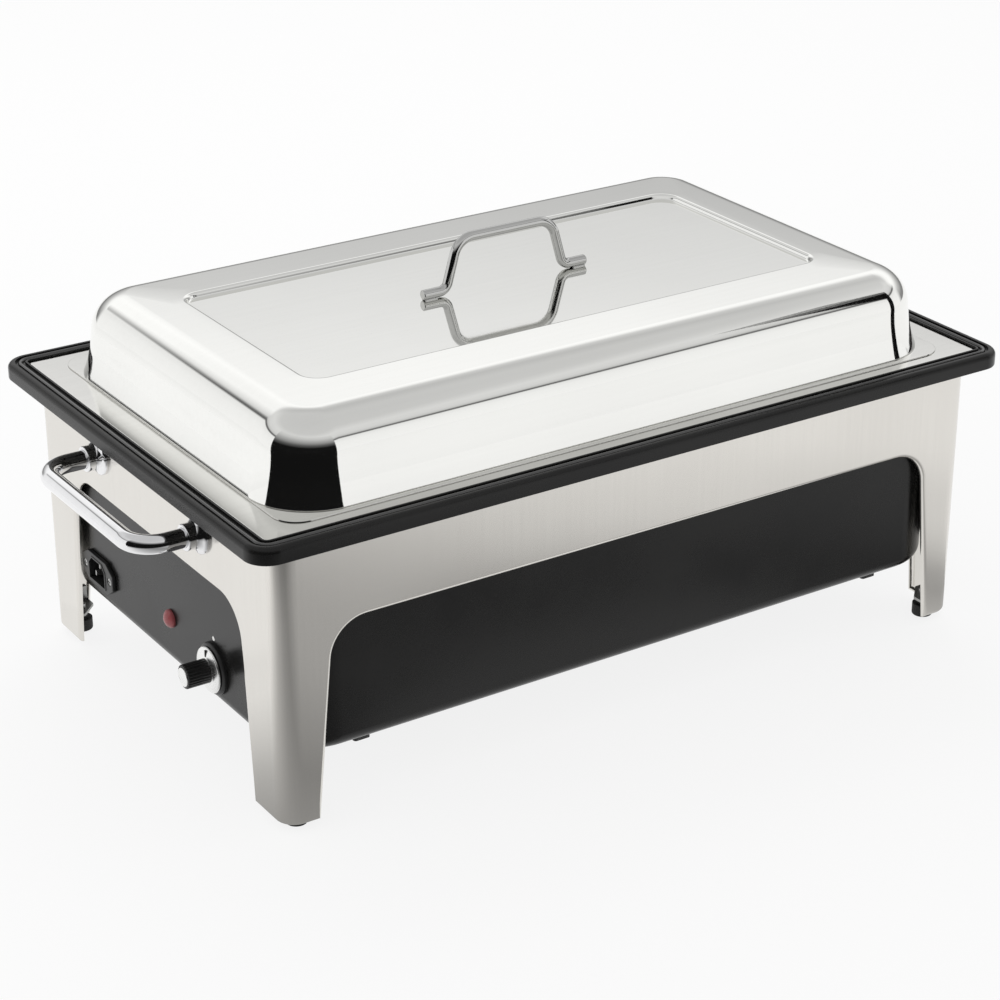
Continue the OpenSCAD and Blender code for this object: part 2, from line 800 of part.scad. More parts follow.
module bottom_cover() {
    color([0.12, 0.12, 0.12]) {
        difference() {
            rounded_plate(cover_l, cover_w, housing_r - housing_base_r, cover_z, cover_t);
            at_cover_screws()
                translate([0, 0, cover_z - cover_t])
                    cylinder(d = screw_d + thread_gap, h = 3 * cover_t);
            for (s = [-1, 1], i = [0 : vent_count - 1])
                translate([s * (vent_l + vent_step) / 2, (i - (vent_count - 1) / 2) * vent_step, cover_z])
                    rounded_plate(vent_l, vent_w, vent_w / 2 - mark, -cover_t, 3 * cover_t);
        }
        for (sx = [-1, 1], sy = [-1, 1])
            translate([sx * lug_x, sy * (cover_w - lug_w) / 2, 0])
                rounded_plate(lug_l, lug_w, lug_w / 4, cover_z - lug_h, lug_h);
    }
}

module cover_screws() {
    color("dimgray")
        at_cover_screws() {
            translate([0, 0, cover_z - screw_head_h])
                cylinder(d = screw_head_d, h = screw_head_h);
            translate([0, 0, cover_z])
                cylinder(d = screw_d, h = screw_l);
        }
}

module water_bath() {
    color("gainsboro")
        drawn_pan(
            bath_body_l, bath_body_w, bath_r, bath_depth, bath_lean, bath_base_r, bath_t,
            bath_flange_l, bath_flange_w, bath_edge_r, bath_z
        );
}

module bath_seal() {
    edge = 1;
    inner_l = housing_l - 2 * housing_t + 2 * edge;
    inner_w = housing_w - 2 * housing_t + 2 * edge;
    color([0.1, 0.1, 0.1])
        difference() {
            rounded_plate(bath_flange_l - 2 * edge, bath_flange_w - 2 * edge, bath_edge_r, ledge_z, seal_t);
            rounded_plate(inner_l, inner_w, housing_r, ledge_z - seal_t, 3 * seal_t);
        }
}

module heat_spreader() {
    color("lightgray")
        rounded_plate(spreader_l, spreader_w, spreader_r, spreader_z, spreader_t);
}

module heating_element() {
    inner_x = element_tail_x + element_margin + 2 * element_bend;
    route = [
        [element_tail_x, -element_run], [element_loop_x, -element_run], [element_loop_x, element_run],
        [inner_x, element_run], [inner_x, element_end], [element_tail_x, element_end]
    ];
    color("slategray")
        intersection() {
            translate([0, 0, element_z])
                bent_bar(route, element_bend, element_d);
            translate([0, 0, element_z])
                cube([housing_l, housing_w, element_h], center = true);
        }
}

module at_clamp_studs() {
    for (sx = [-1, 1], sy = [-1, 1])
        translate([sx * clamp_x, sy * stud_y, 0])
            children();
}

module clamp_bars() {
    bar_l = 2 * element_run + 2 * element_d;
    color("gray")
        difference() {
            for (s = [-1, 1])
                translate([s * clamp_x, 0, clamp_z + clamp_t / 2])
                    cube([clamp_w, bar_l, clamp_t], center = true);
            at_clamp_studs()
                translate([0, 0, clamp_z - clamp_t])
                    cylinder(d = stud_d + thread_gap, h = 3 * clamp_t);
        }
}

module clamp_studs() {
    color("gray")
        at_clamp_studs()
            translate([0, 0, stud_z])
                cylinder(d = stud_d, h = spreader_z - stud_z);
}

module clamp_nuts() {
    color("silver")
        at_clamp_studs()
            translate([0, 0, stud_z])
                nut(2 * stud_d - 2, stud_nut_t, stud_d + thread_gap);
}

module insulation() {
    top = stud_z - insulation_gap;
    slab_l = housing_l - 2 * base_lip - 2 * insulation_play;
    slab_w = housing_w - 2 * base_lip - 2 * insulation_play;
    slab_r = housing_r - base_lip - insulation_play;
    slab_x = spreader_x + element_tail;
    color("khaki")
        intersection() {
            rounded_plate(slab_l, slab_w, slab_r, housing_z, top - housing_z);
            translate([slab_x, -housing_w / 2, 0])
                cube([housing_l, housing_w, bath_floor_z]);
        }
}

module thermostat_body() {
    color("beige")
        difference() {
            union() {
                translate([bay_x, knob_y - thermostat_w / 2, knob_z - thermostat_h / 2])
                    cube([thermostat_l, thermostat_w, thermostat_h]);
                x_rod(wall_x - nut_t, knob_y, knob_z, bush_d, nut_t + housing_t + mark);
            }
            x_rod(wall_x - 2 * nut_t, knob_y, knob_z, shaft_d + 2 * shaft_gap, 2 * nut_t + housing_t + shaft_bore);
        }
}

module thermostat_nut() {
    color("silver")
        translate([wall_x - nut_t, knob_y, knob_z])
            rotate([0, 90, 0])
                nut(nut_af, nut_t, bush_d + thread_gap);
}

module sensor_bulb() {
    color("peru")
        intersection() {
            x_rod(bulb_x, capillary_y, spreader_z - bulb_d / 2 + element_flat, bulb_d, bulb_l);
            translate([bulb_x, -housing_w / 2, spreader_z - bulb_d])
                cube([bulb_l, housing_w, bulb_d]);
        }
}

module capillary_tube() {
    bulb_z = spreader_z - bulb_d / 2 + element_flat;
    route = [[bulb_x, bulb_z], [capillary_x, bulb_z], [capillary_x, knob_z + thermostat_h / 2]];
    color("peru")
        upright_bar(route, capillary_y, lead_bend, capillary_d);
}

module thermal_cutout() {
    ear = cutout_d / 2;
    color([0.2, 0.18, 0.16])
        translate([0, 0, spreader_z]) {
            translate([0, 0, -cutout_h])
                cylinder(d = cutout_d, h = cutout_h);
            translate([0, 0, -bath_t])
                linear_extrude(bath_t)
                    square([cutout_d + 2 * ear, ear], center = true);
        }
}

module indicator_lens() {
    color("firebrick")
        translate([wall_x, lamp_y, lamp_z])
            rotate([0, -90, 0]) {
                rotate_extrude() {
                    square([lens_d / 2, lens_edge]);
                    square([lens_d / 2 - lens_dome, lens_edge + lens_dome]);
                    translate([lens_d / 2 - lens_dome, lens_edge])
                        intersection() {
                            circle(lens_dome);
                            square(lens_dome);
                        }
                }
                translate([0, 0, -housing_t])
                    cylinder(d = lens_neck_d, h = housing_t);
            }
}

module lamp_holder() {
    color("whitesmoke")
        x_rod(bay_x, lamp_y, lamp_z, lamp_d, lamp_l);
}

// Outline of the socket, with its upper corners cut across
module socket_outline() {
    half_w = socket_w / 2;
    half_h = socket_h / 2;
    polygon([
        [-half_w, -half_h], [half_w, -half_h], [half_w, half_h - socket_cut],
        [half_w - socket_cut, half_h], [socket_cut - half_w, half_h], [-half_w, half_h - socket_cut]
    ]);
}

module power_inlet() {
    half_w = inlet_flange_w / 2;
    half_h = inlet_flange_h / 2;
    ear_h = screw_head_d;
    color([0.08, 0.08, 0.08])
        difference() {
            translate([wall_x, inlet_y, inlet_z])
                rotate([90, 0, 90]) {
                    translate([0, 0, -inlet_flange_t])
                        linear_extrude(inlet_flange_t)
                            polygon([
                                [inlet_w / 2, half_h], [half_w, ear_h], [half_w, -ear_h], [inlet_w / 2, -half_h],
                                [-inlet_w / 2, -half_h], [-half_w, -ear_h], [-half_w, ear_h], [-inlet_w / 2, half_h]
                            ]);
                    linear_extrude(inlet_d)
                        square([inlet_w, inlet_h], center = true);
                }
            translate([wall_x - inlet_flange_t, inlet_y, inlet_z])
                rotate([90, 0, 90])
                    translate([0, 0, -socket_d])
                        linear_extrude(2 * socket_d)
                            socket_outline();
            at_inlet_screws() {
                cylinder(d = screw_d + thread_gap, h = 2 * inlet_flange_t);
                translate([0, 0, -mark])
                    cylinder(d = screw_head_d + thread_gap, h = screw_head_h + mark);
            }
            inlet_blades(thread_gap);
        }
}

// The three contact blades, grown by the given gap where they pass the inlet's floor
module inlet_blades(gap) {
    floor_x = wall_x - inlet_flange_t + socket_d;
    start = floor_x - pin_l;
    for (p = [[-pin_pitch / 2, -pin_offset], [pin_pitch / 2, -pin_offset], [0, pin_offset]])
        translate([start, inlet_y + p.x - (pin_w + gap) / 2, inlet_z + p.y - (pin_h + gap) / 2])
            cube([inlet_tab_x - start, pin_w + gap, pin_h + gap]);
}

module inlet_pins() {
    color("silver")
        inlet_blades(0);
}

module inlet_screws() {
    color("gray")
        at_inlet_screws() {
            cylinder(d = screw_head_d, h = screw_head_h);
            translate([0, 0, screw_head_h])
                cylinder(d = screw_d, h = screw_l - screw_head_h);
        }
}

module terminal_block() {
    color("ivory")
        translate([block_x, block_y - block_w / 2, housing_z])
            cube([block_l, block_w, block_h]);
}

module supply_leads() {
    far_y = inlet_y + pin_pitch / 2;
    near_y = inlet_y - pin_pitch / 2;
    end_y = block_y + block_w / 2;
    color("saddlebrown")
        translate([0, 0, pin_z]) {
            bent_bar([[inlet_tab_x, far_y], [lead_x + lead_bend, far_y], [lead_x + lead_bend, end_y]], lead_bend, lead_d);
            bent_bar([[inlet_tab_x, near_y], [lead_x - lead_bend, near_y], [lead_x - lead_bend, end_y]], lead_bend, lead_d);
        }
}

module control_leads() {
    start_y = block_y - block_w / 2;
    lamp_lead = lamp_d / 4;
    block_top = housing_z + block_h;
    color("black") {
        translate([0, 0, pin_z])
            bent_bar(
                [[lead_x, start_y], [lead_x, capillary_y], [thermostat_x, capillary_y]], lead_bend, lead_d
            );
        for (s = [-1, 1])
            upright_bar(
                [[lamp_end_x, lamp_z], [lead_x + s * lead_bend, lamp_z], [lead_x + s * lead_bend, block_top]],
                lamp_y + s * lamp_lead, lead_bend, lead_d
            );
    }
}

module heater_leads() {
    block_top = housing_z + block_h;
    rise_x = spreader_x - 2 * element_tail - lead_bend;
    color("maroon") {
        upright_bar(
            [[thermostat_x, pin_z], [rise_x, pin_z], [rise_x, element_z], [element_tail_x, element_z]],
            heater_lead_y, lead_bend, lead_d
        );
        upright_bar(
            [[rise_x, block_top], [rise_x, element_z], [element_tail_x, element_z]],
            element_end, lead_bend, lead_d
        );
    }
}

// The earth stud's place on the heat spreader, level with the inlet's middle pin
earth_x = spreader_x + stud_d + 2;
earth_tag_x = earth_x - stud_d;

module earth_lead() {
    rise_x = spreader_x - 2 * element_tail - lead_bend;
    color("olivedrab")
        upright_bar(
            [[inlet_tab_x, earth_pin_z], [rise_x, earth_pin_z], [rise_x, element_z], [earth_tag_x, element_z]],
            inlet_y, lead_bend, lead_d
        );
}

module earth_stud() {
    tag_t = lead_d / 2;
    color("goldenrod") {
        translate([earth_x, inlet_y, clamp_z])
            cylinder(d = stud_d, h = spreader_z - clamp_z);
        translate([earth_tag_x, inlet_y - stud_d, element_z - tag_t / 2])
            cube([2 * stud_d, 2 * stud_d, tag_t]);
    }
}

module dial_ring() {
    hole_d = nut_af / cos(30) + 1;
    color([0.05, 0.05, 0.05])
        difference() {
            x_rod(wall_x - dial_t, knob_y, knob_z, dial_d, dial_t);
            x_rod(wall_x - 2 * dial_t, knob_y, knob_z, hole_d, 3 * dial_t);
        }
}

// Side handle seen from above, on the end that looks towards -X
module side_handle() {
    seat_x = -stand_l / 2 - boss_t;
    bar_x = -stand_l / 2 - handle_reach;
    half = handle_pitch / 2;
    route = [[seat_x, -half], [bar_x, -half], [bar_x, half], [seat_x, half]];
    color("whitesmoke")
        difference() {
            translate([0, 0, handle_z])
                bent_bar(route, handle_bend, handle_d);
            for (s = [-1, 1])
                x_rod(seat_x - handle_d, s * half, handle_z, handle_screw_d + thread_gap, 2 * handle_d);
        }
}

module side_handle_left() {
    side_handle();
}

module side_handle_right() {
    mirror([1, 0, 0])
        side_handle();
}

module handle_bosses() {
    color("whitesmoke")
        at_handle_arms()
            difference() {
                union() {
                    cylinder(d = boss_d, h = boss_t);
                    cylinder(d = collar_d, h = collar_l);
                }
                translate([0, 0, boss_t])
                    cylinder(d = handle_d + thread_gap, h = collar_l);
                translate([0, 0, -boss_t])
                    cylinder(d = handle_screw_d + thread_gap, h = 3 * boss_t);
            }
}

module handle_screws() {
    head_h = housing_gap / 2;
    color("gray")
        at_handle_arms() {
            translate([0, 0, -stand_t - head_h])
                cylinder(d = 2 * handle_screw_d, h = head_h);
            translate([0, 0, -stand_t])
                cylinder(d = handle_screw_d, h = stand_t + boss_t + handle_d - 1);
        }
}

module thermostat_shaft() {
    end_x = bay_x + shaft_bore - 1;
    start_x = grip_x - grip_l / 2;
    color("silver")
        x_rod(start_x, knob_y, knob_z, shaft_d, end_x - start_x);
}

module knob_skirt() {
    color("gainsboro")
        difference() {
            x_rod(grip_x, knob_y, knob_z, skirt_d, skirt_t);
            x_rod(grip_x - skirt_t, knob_y, knob_z, spigot_d + thread_gap, 3 * skirt_t);
        }
}

module control_knob() {
    front_x = grip_x - grip_l;
    color([0.05, 0.05, 0.05])
        difference() {
            union() {
                x_rod(front_x, knob_y, knob_z, grip_d, grip_l);
                x_rod(grip_x - mark, knob_y, knob_z, spigot_d, skirt_t + mark);
            }
            x_rod(grip_x - grip_l / 2, knob_y, knob_z, shaft_d + thread_gap, grip_l);
            x_rod(front_x - cap_t, knob_y, knob_z, cap_d + thread_gap, cap_t + cap_seat);
            for (i = [0 : flute_count - 1])
                translate([0, knob_y, knob_z])
                    rotate([360 * i / flute_count, 0, 0])
                        x_rod(front_x - grip_l / 2, 0, grip_d / 2, 2 * flute_r, grip_l);
        }
}

module knob_cap() {
    color("gainsboro")
        x_rod(grip_x - grip_l - cap_t + cap_seat, knob_y, knob_z, cap_d, cap_t);
}

module food_pan() {
    color("gainsboro")
        drawn_pan(
            pan_body_l, pan_body_w, pan_r, pan_depth, pan_lean, pan_base_r, pan_t, pan_l, pan_w, pan_edge_r, pan_z
        );
}

// Section of the lid's skirt and shoulder above z = 0
module lid_section() {
    crease = [lid_r - lid_skirt_in, lid_skirt_h];
    shoulder_r = (pow(lid_shoulder_w, 2) + pow(lid_shoulder_h, 2)) / (2 * lid_shoulder_h);
    sweep = asin(lid_shoulder_w / shoulder_r);
    c = [lid_r - lid_flat_in, lid_skirt_h + lid_shoulder_h - shoulder_r];
    translate([lid_r - lid_lip, 0])
        square([lid_lip, lid_t]);
    polygon([[lid_r, 0], crease, [crease.x - lid_t, crease.y], [lid_r - lid_t, 0]]);
    arc_band(c, shoulder_r, lid_t, 90 - sweep, 90);
    sheet_lap(c.x, lid_skirt_h + lid_shoulder_h);
}

// Small core inside the lid's sheet, across the joint of two of its stretches whose top is at x, z
module sheet_lap(x, z) {
    translate([x - lid_t / 4, z - 3 * lid_t / 4])
        square([lid_t / 2, lid_t / 4]);
}

module lid_shell() {
    slope_foot = panel_r - panel_slope;
    color("gainsboro") {
        translate([0, 0, lid_z])
            swept_wall(lid_l, lid_w, lid_r)
                lid_section();
        difference() {
            rounded_plate(lid_flat_l, lid_flat_w, lid_r - lid_flat_in, lid_flat_z - lid_t, lid_t);
            rounded_plate(panel_l, panel_w, panel_r, lid_flat_z - 2 * lid_t, 3 * lid_t);
        }
        translate([0, 0, lid_flat_z])
            swept_wall(panel_l, panel_w, panel_r) {
                polygon([
                    [panel_r, 0], [panel_r, -lid_t],
                    [slope_foot, -lid_t - panel_sink], [slope_foot, -panel_sink]
                ]);
                sheet_lap(panel_r, 0);
                sheet_lap(slope_foot, -panel_sink);
            }
        rounded_plate(
            panel_l - 2 * panel_slope, panel_w - 2 * panel_slope, slope_foot, panel_z - lid_t, lid_t
        );
    }
}

module lid_handle() {
    axis_z = panel_z + weld_h + wire_d / 2;
    half = wire_span / 2;
    top_z = panel_z + wire_h;
    route = [
        [-half - wire_foot, axis_z], [-half, axis_z], [-wire_top / 2, top_z],
        [wire_top / 2, top_z], [half, axis_z], [half + wire_foot, axis_z]
    ];
    bends = [wire_foot_bend, wire_top_bend, wire_top_bend, wire_foot_bend];
    seam_l = wire_foot - wire_foot_bend - 1;
    color("whitesmoke") {
        upright_bar(route, 0, bends, wire_d, wire_swell);
        for (s = [-1, 1])
            translate([s * (half + wire_foot - 1 - seam_l / 2), 0, (panel_z + axis_z) / 2])
                cube([seam_l, weld_w, axis_z - panel_z], center = true);
    }
}

stand();
foot_brackets();
rubber_feet();
foot_screws();
housing();
bottom_cover();
cover_screws();
water_bath();
bath_seal();
heat_spreader();
heating_element();
clamp_bars();
clamp_studs();
clamp_nuts();
insulation();
thermostat_body();
thermostat_nut();
sensor_bulb();
capillary_tube();
thermal_cutout();
indicator_lens();
lamp_holder();
power_inlet();
inlet_pins();
inlet_screws();
terminal_block();
supply_leads();
control_leads();
heater_leads();
earth_lead();
earth_stud();
dial_ring();
side_handle_left();
side_handle_right();
handle_bosses();
handle_screws();
thermostat_shaft();
knob_skirt();
control_knob();
knob_cap();
food_pan();
lid_shell();
lid_handle();
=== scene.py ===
import math
import bpy
import bmesh
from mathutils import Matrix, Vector


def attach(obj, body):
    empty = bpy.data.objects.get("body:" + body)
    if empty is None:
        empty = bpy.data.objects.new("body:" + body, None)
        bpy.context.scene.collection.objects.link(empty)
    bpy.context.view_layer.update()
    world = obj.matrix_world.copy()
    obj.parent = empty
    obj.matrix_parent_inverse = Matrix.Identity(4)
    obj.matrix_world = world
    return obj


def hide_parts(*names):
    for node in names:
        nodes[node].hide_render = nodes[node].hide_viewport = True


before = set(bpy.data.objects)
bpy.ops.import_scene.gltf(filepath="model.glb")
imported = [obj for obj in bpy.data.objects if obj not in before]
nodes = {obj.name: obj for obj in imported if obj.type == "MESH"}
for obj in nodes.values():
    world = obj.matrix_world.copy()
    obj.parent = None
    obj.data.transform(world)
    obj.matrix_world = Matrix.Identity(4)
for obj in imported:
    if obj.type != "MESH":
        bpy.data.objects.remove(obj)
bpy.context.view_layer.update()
scene = bpy.context.scene
print("frame loaded:", len(nodes), "solids")

# Lengths in the dictionaries of the pieces are millimetres; meshFrom turns them into metres.
# Lengths of the stage are metres, apart from the camera's places.

shaping = {"metre": 0.001, "mergeWithin": 0.0005, "cornerShare": 0.49, "rimEase": 0.3, "mitreFloor": 0.3}


# small helpers for points and outlines

def polar(radius, degrees):
    a = math.radians(degrees)
    return radius * math.cos(a), radius * math.sin(a)


def arcPoints(centre, radius, start, end, count):
    turns = [polar(radius, start + (end - start) * i / count) for i in range(count + 1)]
    return [(centre[0] + x, centre[1] + y) for x, y in turns]


def boxOutline(w, h, x=0.0, y=0.0):
    return [(x - w / 2, y - h / 2), (x + w / 2, y - h / 2), (x + w / 2, y + h / 2), (x - w / 2, y + h / 2)]


def shares(count):
    # even steps from 0 to 1
    return [i / count for i in range(count + 1)]


def softCorner(before, corner, after, reach, count):
    # a small curve in place of a sharp corner of a section
    b, c, a = Vector(before), Vector(corner), Vector(after)
    share = shaping["cornerShare"]
    p = c + (b - c).normalized() * min(reach, (b - c).length * share)
    q = c + (a - c).normalized() * min(reach, (a - c).length * share)
    return [tuple(p.lerp(c, t).lerp(c.lerp(q, t), t)) for t in shares(count)]


def softSection(points, count=5):
    # points are (x, y, reach of the rounding); ends stay sharp
    made = [tuple(points[0][:2])]
    for i in range(1, len(points) - 1):
        x, y, reach = points[i]
        if reach > 0:
            made += softCorner(points[i - 1][:2], (x, y), points[i + 1][:2], reach, count)
        else:
            made.append((x, y))
    made.append(tuple(points[-1][:2]))
    return made


def offsetSection(points, by):
    made = []
    for i, p in enumerate(points):
        a = Vector(points[max(0, i - 1)])
        b = Vector(points[min(len(points) - 1, i + 1)])
        way = (b - a).normalized()
        made.append((p[0] - way.y * by, p[1] + way.x * by))
    return made


def joinRows(bm, rows, loop=False, startCap=False, endCap=False):
    # faces from one closed row of points to the next, with the ends filled where asked
    for low, high in list(zip(rows, rows[1:])) + ([(rows[-1], rows[0])] if loop else []):
        for i in range(len(low)):
            j = (i + 1) % len(low)
            bm.faces.new((low[i], low[j], high[j], high[i]))
    if startCap:
        bm.faces.new(rows[0][::-1])
    if endCap:
        bm.faces.new(rows[-1])


def ringPoints(length, width, radius, z, steps):
    made = []
    for k, (sx, sy) in enumerate(((1, 1), (-1, 1), (-1, -1), (1, -1))):
        cx, cy = sx * (length / 2 - radius), sy * (width / 2 - radius)
        for i in range(steps + 1):
            dx, dy = polar(radius, 90 * k + 90 * i / steps)
            made.append((cx + dx, cy + dy, z))
    return made


def ringMaker(length, width, corner, base=0.0):
    # rings inside one outline by an inset, their heights counted from base
    return lambda inset, z: (length - 2 * inset, width - 2 * inset, corner - inset, base + z)


def ringSkin(bm, rings, steps, **ends):
    # rings are (length, width, corner radius, z), joined one to the next
    rows = [[bm.verts.new(p) for p in ringPoints(*ring, steps)] for ring in rings]
    joinRows(bm, rows, **ends)
    return rows


def lathe(bm, section, steps, ripple=None, caps=True):
    # section is (radius, height) along +Z; ripple changes the radius with the angle
    turns = [360 * i / steps for i in range(steps)]
    rows = []
    for r, z in section:
        rows.append([bm.verts.new((*polar(ripple(r, z, a) if ripple else r, a), z)) for a in turns])
    joinRows(bm, rows, startCap=caps, endCap=caps)


def bentPath(points, bends, count):
    # a flat route with its corners turned into arcs of the given radii
    made = [Vector(points[0])]
    for i in range(1, len(points) - 1):
        p, c, q = Vector(points[i - 1]), Vector(points[i]), Vector(points[i + 1])
        u, v = (p - c).normalized(), (q - c).normalized()
        half = u.angle(v) / 2
        r = bends[i - 1]
        start, end = c + u * (r / math.tan(half)), c + v * (r / math.tan(half))
        middle = c + (u + v).normalized() * (r / math.sin(half))
        a, b = start - middle, end - middle
        turn = a.angle(b)
        for t in shares(count):
            made.append(middle + (a * math.sin((1 - t) * turn) + b * math.sin(t * turn)) / math.sin(turn))
    made.append(Vector(points[-1]))
    return made


def wireTube(bm, path, radius, up, sides, endRound=0.0):
    # round bar along a path that lies in one plane, whose normal is up
    up = Vector(up)
    sections = []
    for i, p in enumerate(path):
        way = (path[min(i + 1, len(path) - 1)] - path[max(i - 1, 0)]).normalized()
        sections.append((p, way, radius))

    def rounded(end, sign, angles):
        place, way, r = end
        turns = [math.radians(a) for a in angles]
        return [(place + way * sign * endRound * (1 - math.sin(a)), way, r - endRound * (1 - math.cos(a)))
                for a in turns]

    if endRound > 0:
        lead = rounded(sections[0], 1, (90, 60, 30, 0))
        tail = rounded(sections[-1], -1, (0, 30, 60, 90))
        sections = lead + sections[1:-1] + tail
    rows = []
    for p, way, r in sections:
        side = way.cross(up).normalized()
        turns = [polar(r, 360 * k / sides) for k in range(sides)]
        rows.append([bm.verts.new(p + side * x + up * y) for x, y in turns])
    joinRows(bm, rows, startCap=True, endCap=True)


def prism(bm, outline, low, high, edge=0.0):
    # flat outline carried from low to high, with its rims cut back by edge
    def ring(inset, z):
        made = []
        n = len(outline)
        for i in range(n):
            a, b, c = (Vector(outline[j % n]) for j in (i - 1, i, i + 1))
            u, v = (b - a).normalized(), (c - b).normalized()
            normal = (Vector((-u.y, u.x)) + Vector((-v.y, v.x))).normalized()
            bite = inset / max(shaping["mitreFloor"], normal.dot(Vector((-u.y, u.x))))
            made.append(bm.verts.new((b.x + normal.x * bite, b.y + normal.y * bite, z)))
        return made

    if edge > 0:
        ease = edge * shaping["rimEase"]
        rows = [ring(edge, low), ring(ease, low + ease), ring(0, low + edge),
                ring(0, high - edge), ring(ease, high - ease), ring(edge, high)]
    else:
        rows = [ring(0, low), ring(0, high)]
    joinRows(bm, rows, startCap=True, endCap=True)


def placeNew(bm, since, move):
    # moves the vertices made after the given count
    bm.verts.ensure_lookup_table()
    for v in bm.verts[since:]:
        v.co = move(v.co)


def shifted(x, y=0.0):
    return lambda p: Vector((p.x + x, p.y + y, p.z))


def calmNormals(piece):
    # wide faces keep their own shading next to narrow rounded edges
    calm = piece.modifiers.new("calmNormals", "WEIGHTED_NORMAL")
    calm.keep_sharp = True


def meshFrom(bm, name):
    for v in bm.verts:
        v.co *= shaping["metre"]
    bmesh.ops.recalc_face_normals(bm, faces=bm.faces)
    mesh = bpy.data.meshes.new(name)
    bm.to_mesh(mesh)
    bm.free()
    return mesh


def newObject(name, data):
    made = bpy.data.objects.new(name, data)
    scene.collection.objects.link(made)
    return made


def newPiece(name, bm, material, body, stands, sharp=32):
    bmesh.ops.remove_doubles(bm, verts=bm.verts, dist=shaping["mergeWithin"])
    mesh = meshFrom(bm, name)
    mesh.materials.append(material)
    mesh.polygons.foreach_set("use_smooth", [True] * len(mesh.polygons))
    mesh.set_sharp_from_angle(angle=math.radians(sharp))
    piece = newObject(name, mesh)
    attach(piece, body)
    if stands:
        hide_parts(*stands)
    calmNormals(piece)
    return piece


def carveOut(piece, cut, joined=False):
    # takes the shape in cut out of a piece, for good; joined where shapes of one mesh run into each other
    cutter = newObject("cutter", meshFrom(cut, "cutter"))
    piece.modifiers.clear()
    carve = piece.modifiers.new("openings", "BOOLEAN")
    carve.object = cutter
    carve.operation = "DIFFERENCE"
    carve.solver = "EXACT"
    carve.use_self = joined
    bpy.context.view_layer.update()
    carved = bpy.data.meshes.new_from_object(piece.evaluated_get(bpy.context.evaluated_depsgraph_get()))
    piece.modifiers.clear()
    piece.data = carved
    calmNormals(piece)
    bpy.data.objects.remove(cutter)


# shader groups that several finishes share

number, colour, vector = "NodeSocketFloat", "NodeSocketColor", "NodeSocketVector"


def newGroup(name, inputs):
    group = bpy.data.node_groups.new(name, "ShaderNodeTree")
    for label, kind, value in inputs:
        socket = group.interface.new_socket(label, in_out="INPUT", socket_type=kind)
        socket.default_value = value
    for label, kind in (("Tint", colour), ("Rough", number), ("Height", number)):
        group.interface.new_socket(label, in_out="OUTPUT", socket_type=kind)
    return group, group.nodes.new("NodeGroupInput"), group.nodes.new("NodeGroupOutput")


def setInputs(node, values):
    for socket, value in values.items():
        node.inputs[socket].default_value = value


def addNode(tree, kind, values=None, **settings):
    node = tree.nodes.new(kind)
    for key, value in settings.items():
        setattr(node, key, value)
    setInputs(node, values or {})
    return node


def linkAll(tree, *links):
    # each link is a node, its output, another node and its input
    for node, output, other, place in links:
        tree.links.new(node.outputs[output], other.inputs[place])


def tintAndRough(group, source, out, share, low, high):
    # one mask sets how the colour and the roughness change over the surface
    tint = addNode(group, "ShaderNodeMix", data_type="RGBA")
    rough = addNode(group, "ShaderNodeMapRange")
    linkAll(group, (share, 0, tint, "Factor"), (source, low, tint, "A"), (source, high, tint, "B"),
            (share, 0, rough, "Value"), (source, "Smooth", rough, "To Min"),
            (source, "Dull", rough, "To Max"), (tint, "Result", out, "Tint"), (rough, 0, out, "Rough"))


def makeSheetMarks():
    # handling marks of polished sheet: cloudy patches, fine rubbing lines along one axis, a slight ripple
    group, source, out = newGroup("sheetMarks", [
        ("Cloud Size", number, 9.0), ("Line Size", number, 260.0), ("Line Stretch", vector, (0.02, 1.0, 1.0)),
        ("Smooth", number, 0.06), ("Dull", number, 0.14),
        ("Clean Tint", colour, (0.8, 0.8, 0.79, 1)), ("Worn Tint", colour, (0.72, 0.72, 0.71, 1))])
    place = addNode(group, "ShaderNodeTexCoord")
    cloud = addNode(group, "ShaderNodeTexNoise", {"Detail": 4})
    stretch = addNode(group, "ShaderNodeVectorMath", operation="MULTIPLY")
    lines = addNode(group, "ShaderNodeTexNoise", {"Detail": 3})
    ripple = addNode(group, "ShaderNodeTexNoise", {"Scale": 11, "Detail": 1})
    blend = addNode(group, "ShaderNodeMath", {1: 0.55}, operation="MULTIPLY_ADD")
    share = addNode(group, "ShaderNodeMapRange", {"From Min": 0.45, "From Max": 0.95}, clamp=True)
    height = addNode(group, "ShaderNodeMath", {1: 0.06}, operation="MULTIPLY_ADD")
    linkAll(group, (place, "Object", cloud, "Vector"), (source, "Cloud Size", cloud, "Scale"),
            (place, "Object", stretch, 0), (source, "Line Stretch", stretch, 1),
            (stretch, 0, lines, "Vector"), (source, "Line Size", lines, "Scale"),
            (place, "Object", ripple, "Vector"), (lines, "Fac", blend, 0), (cloud, "Fac", blend, 2),
            (blend, 0, share, "Value"), (lines, "Fac", height, 0), (ripple, "Fac", height, 2),
            (height, 0, out, "Height"))
    tintAndRough(group, source, out, share, "Clean Tint", "Worn Tint")
    return group


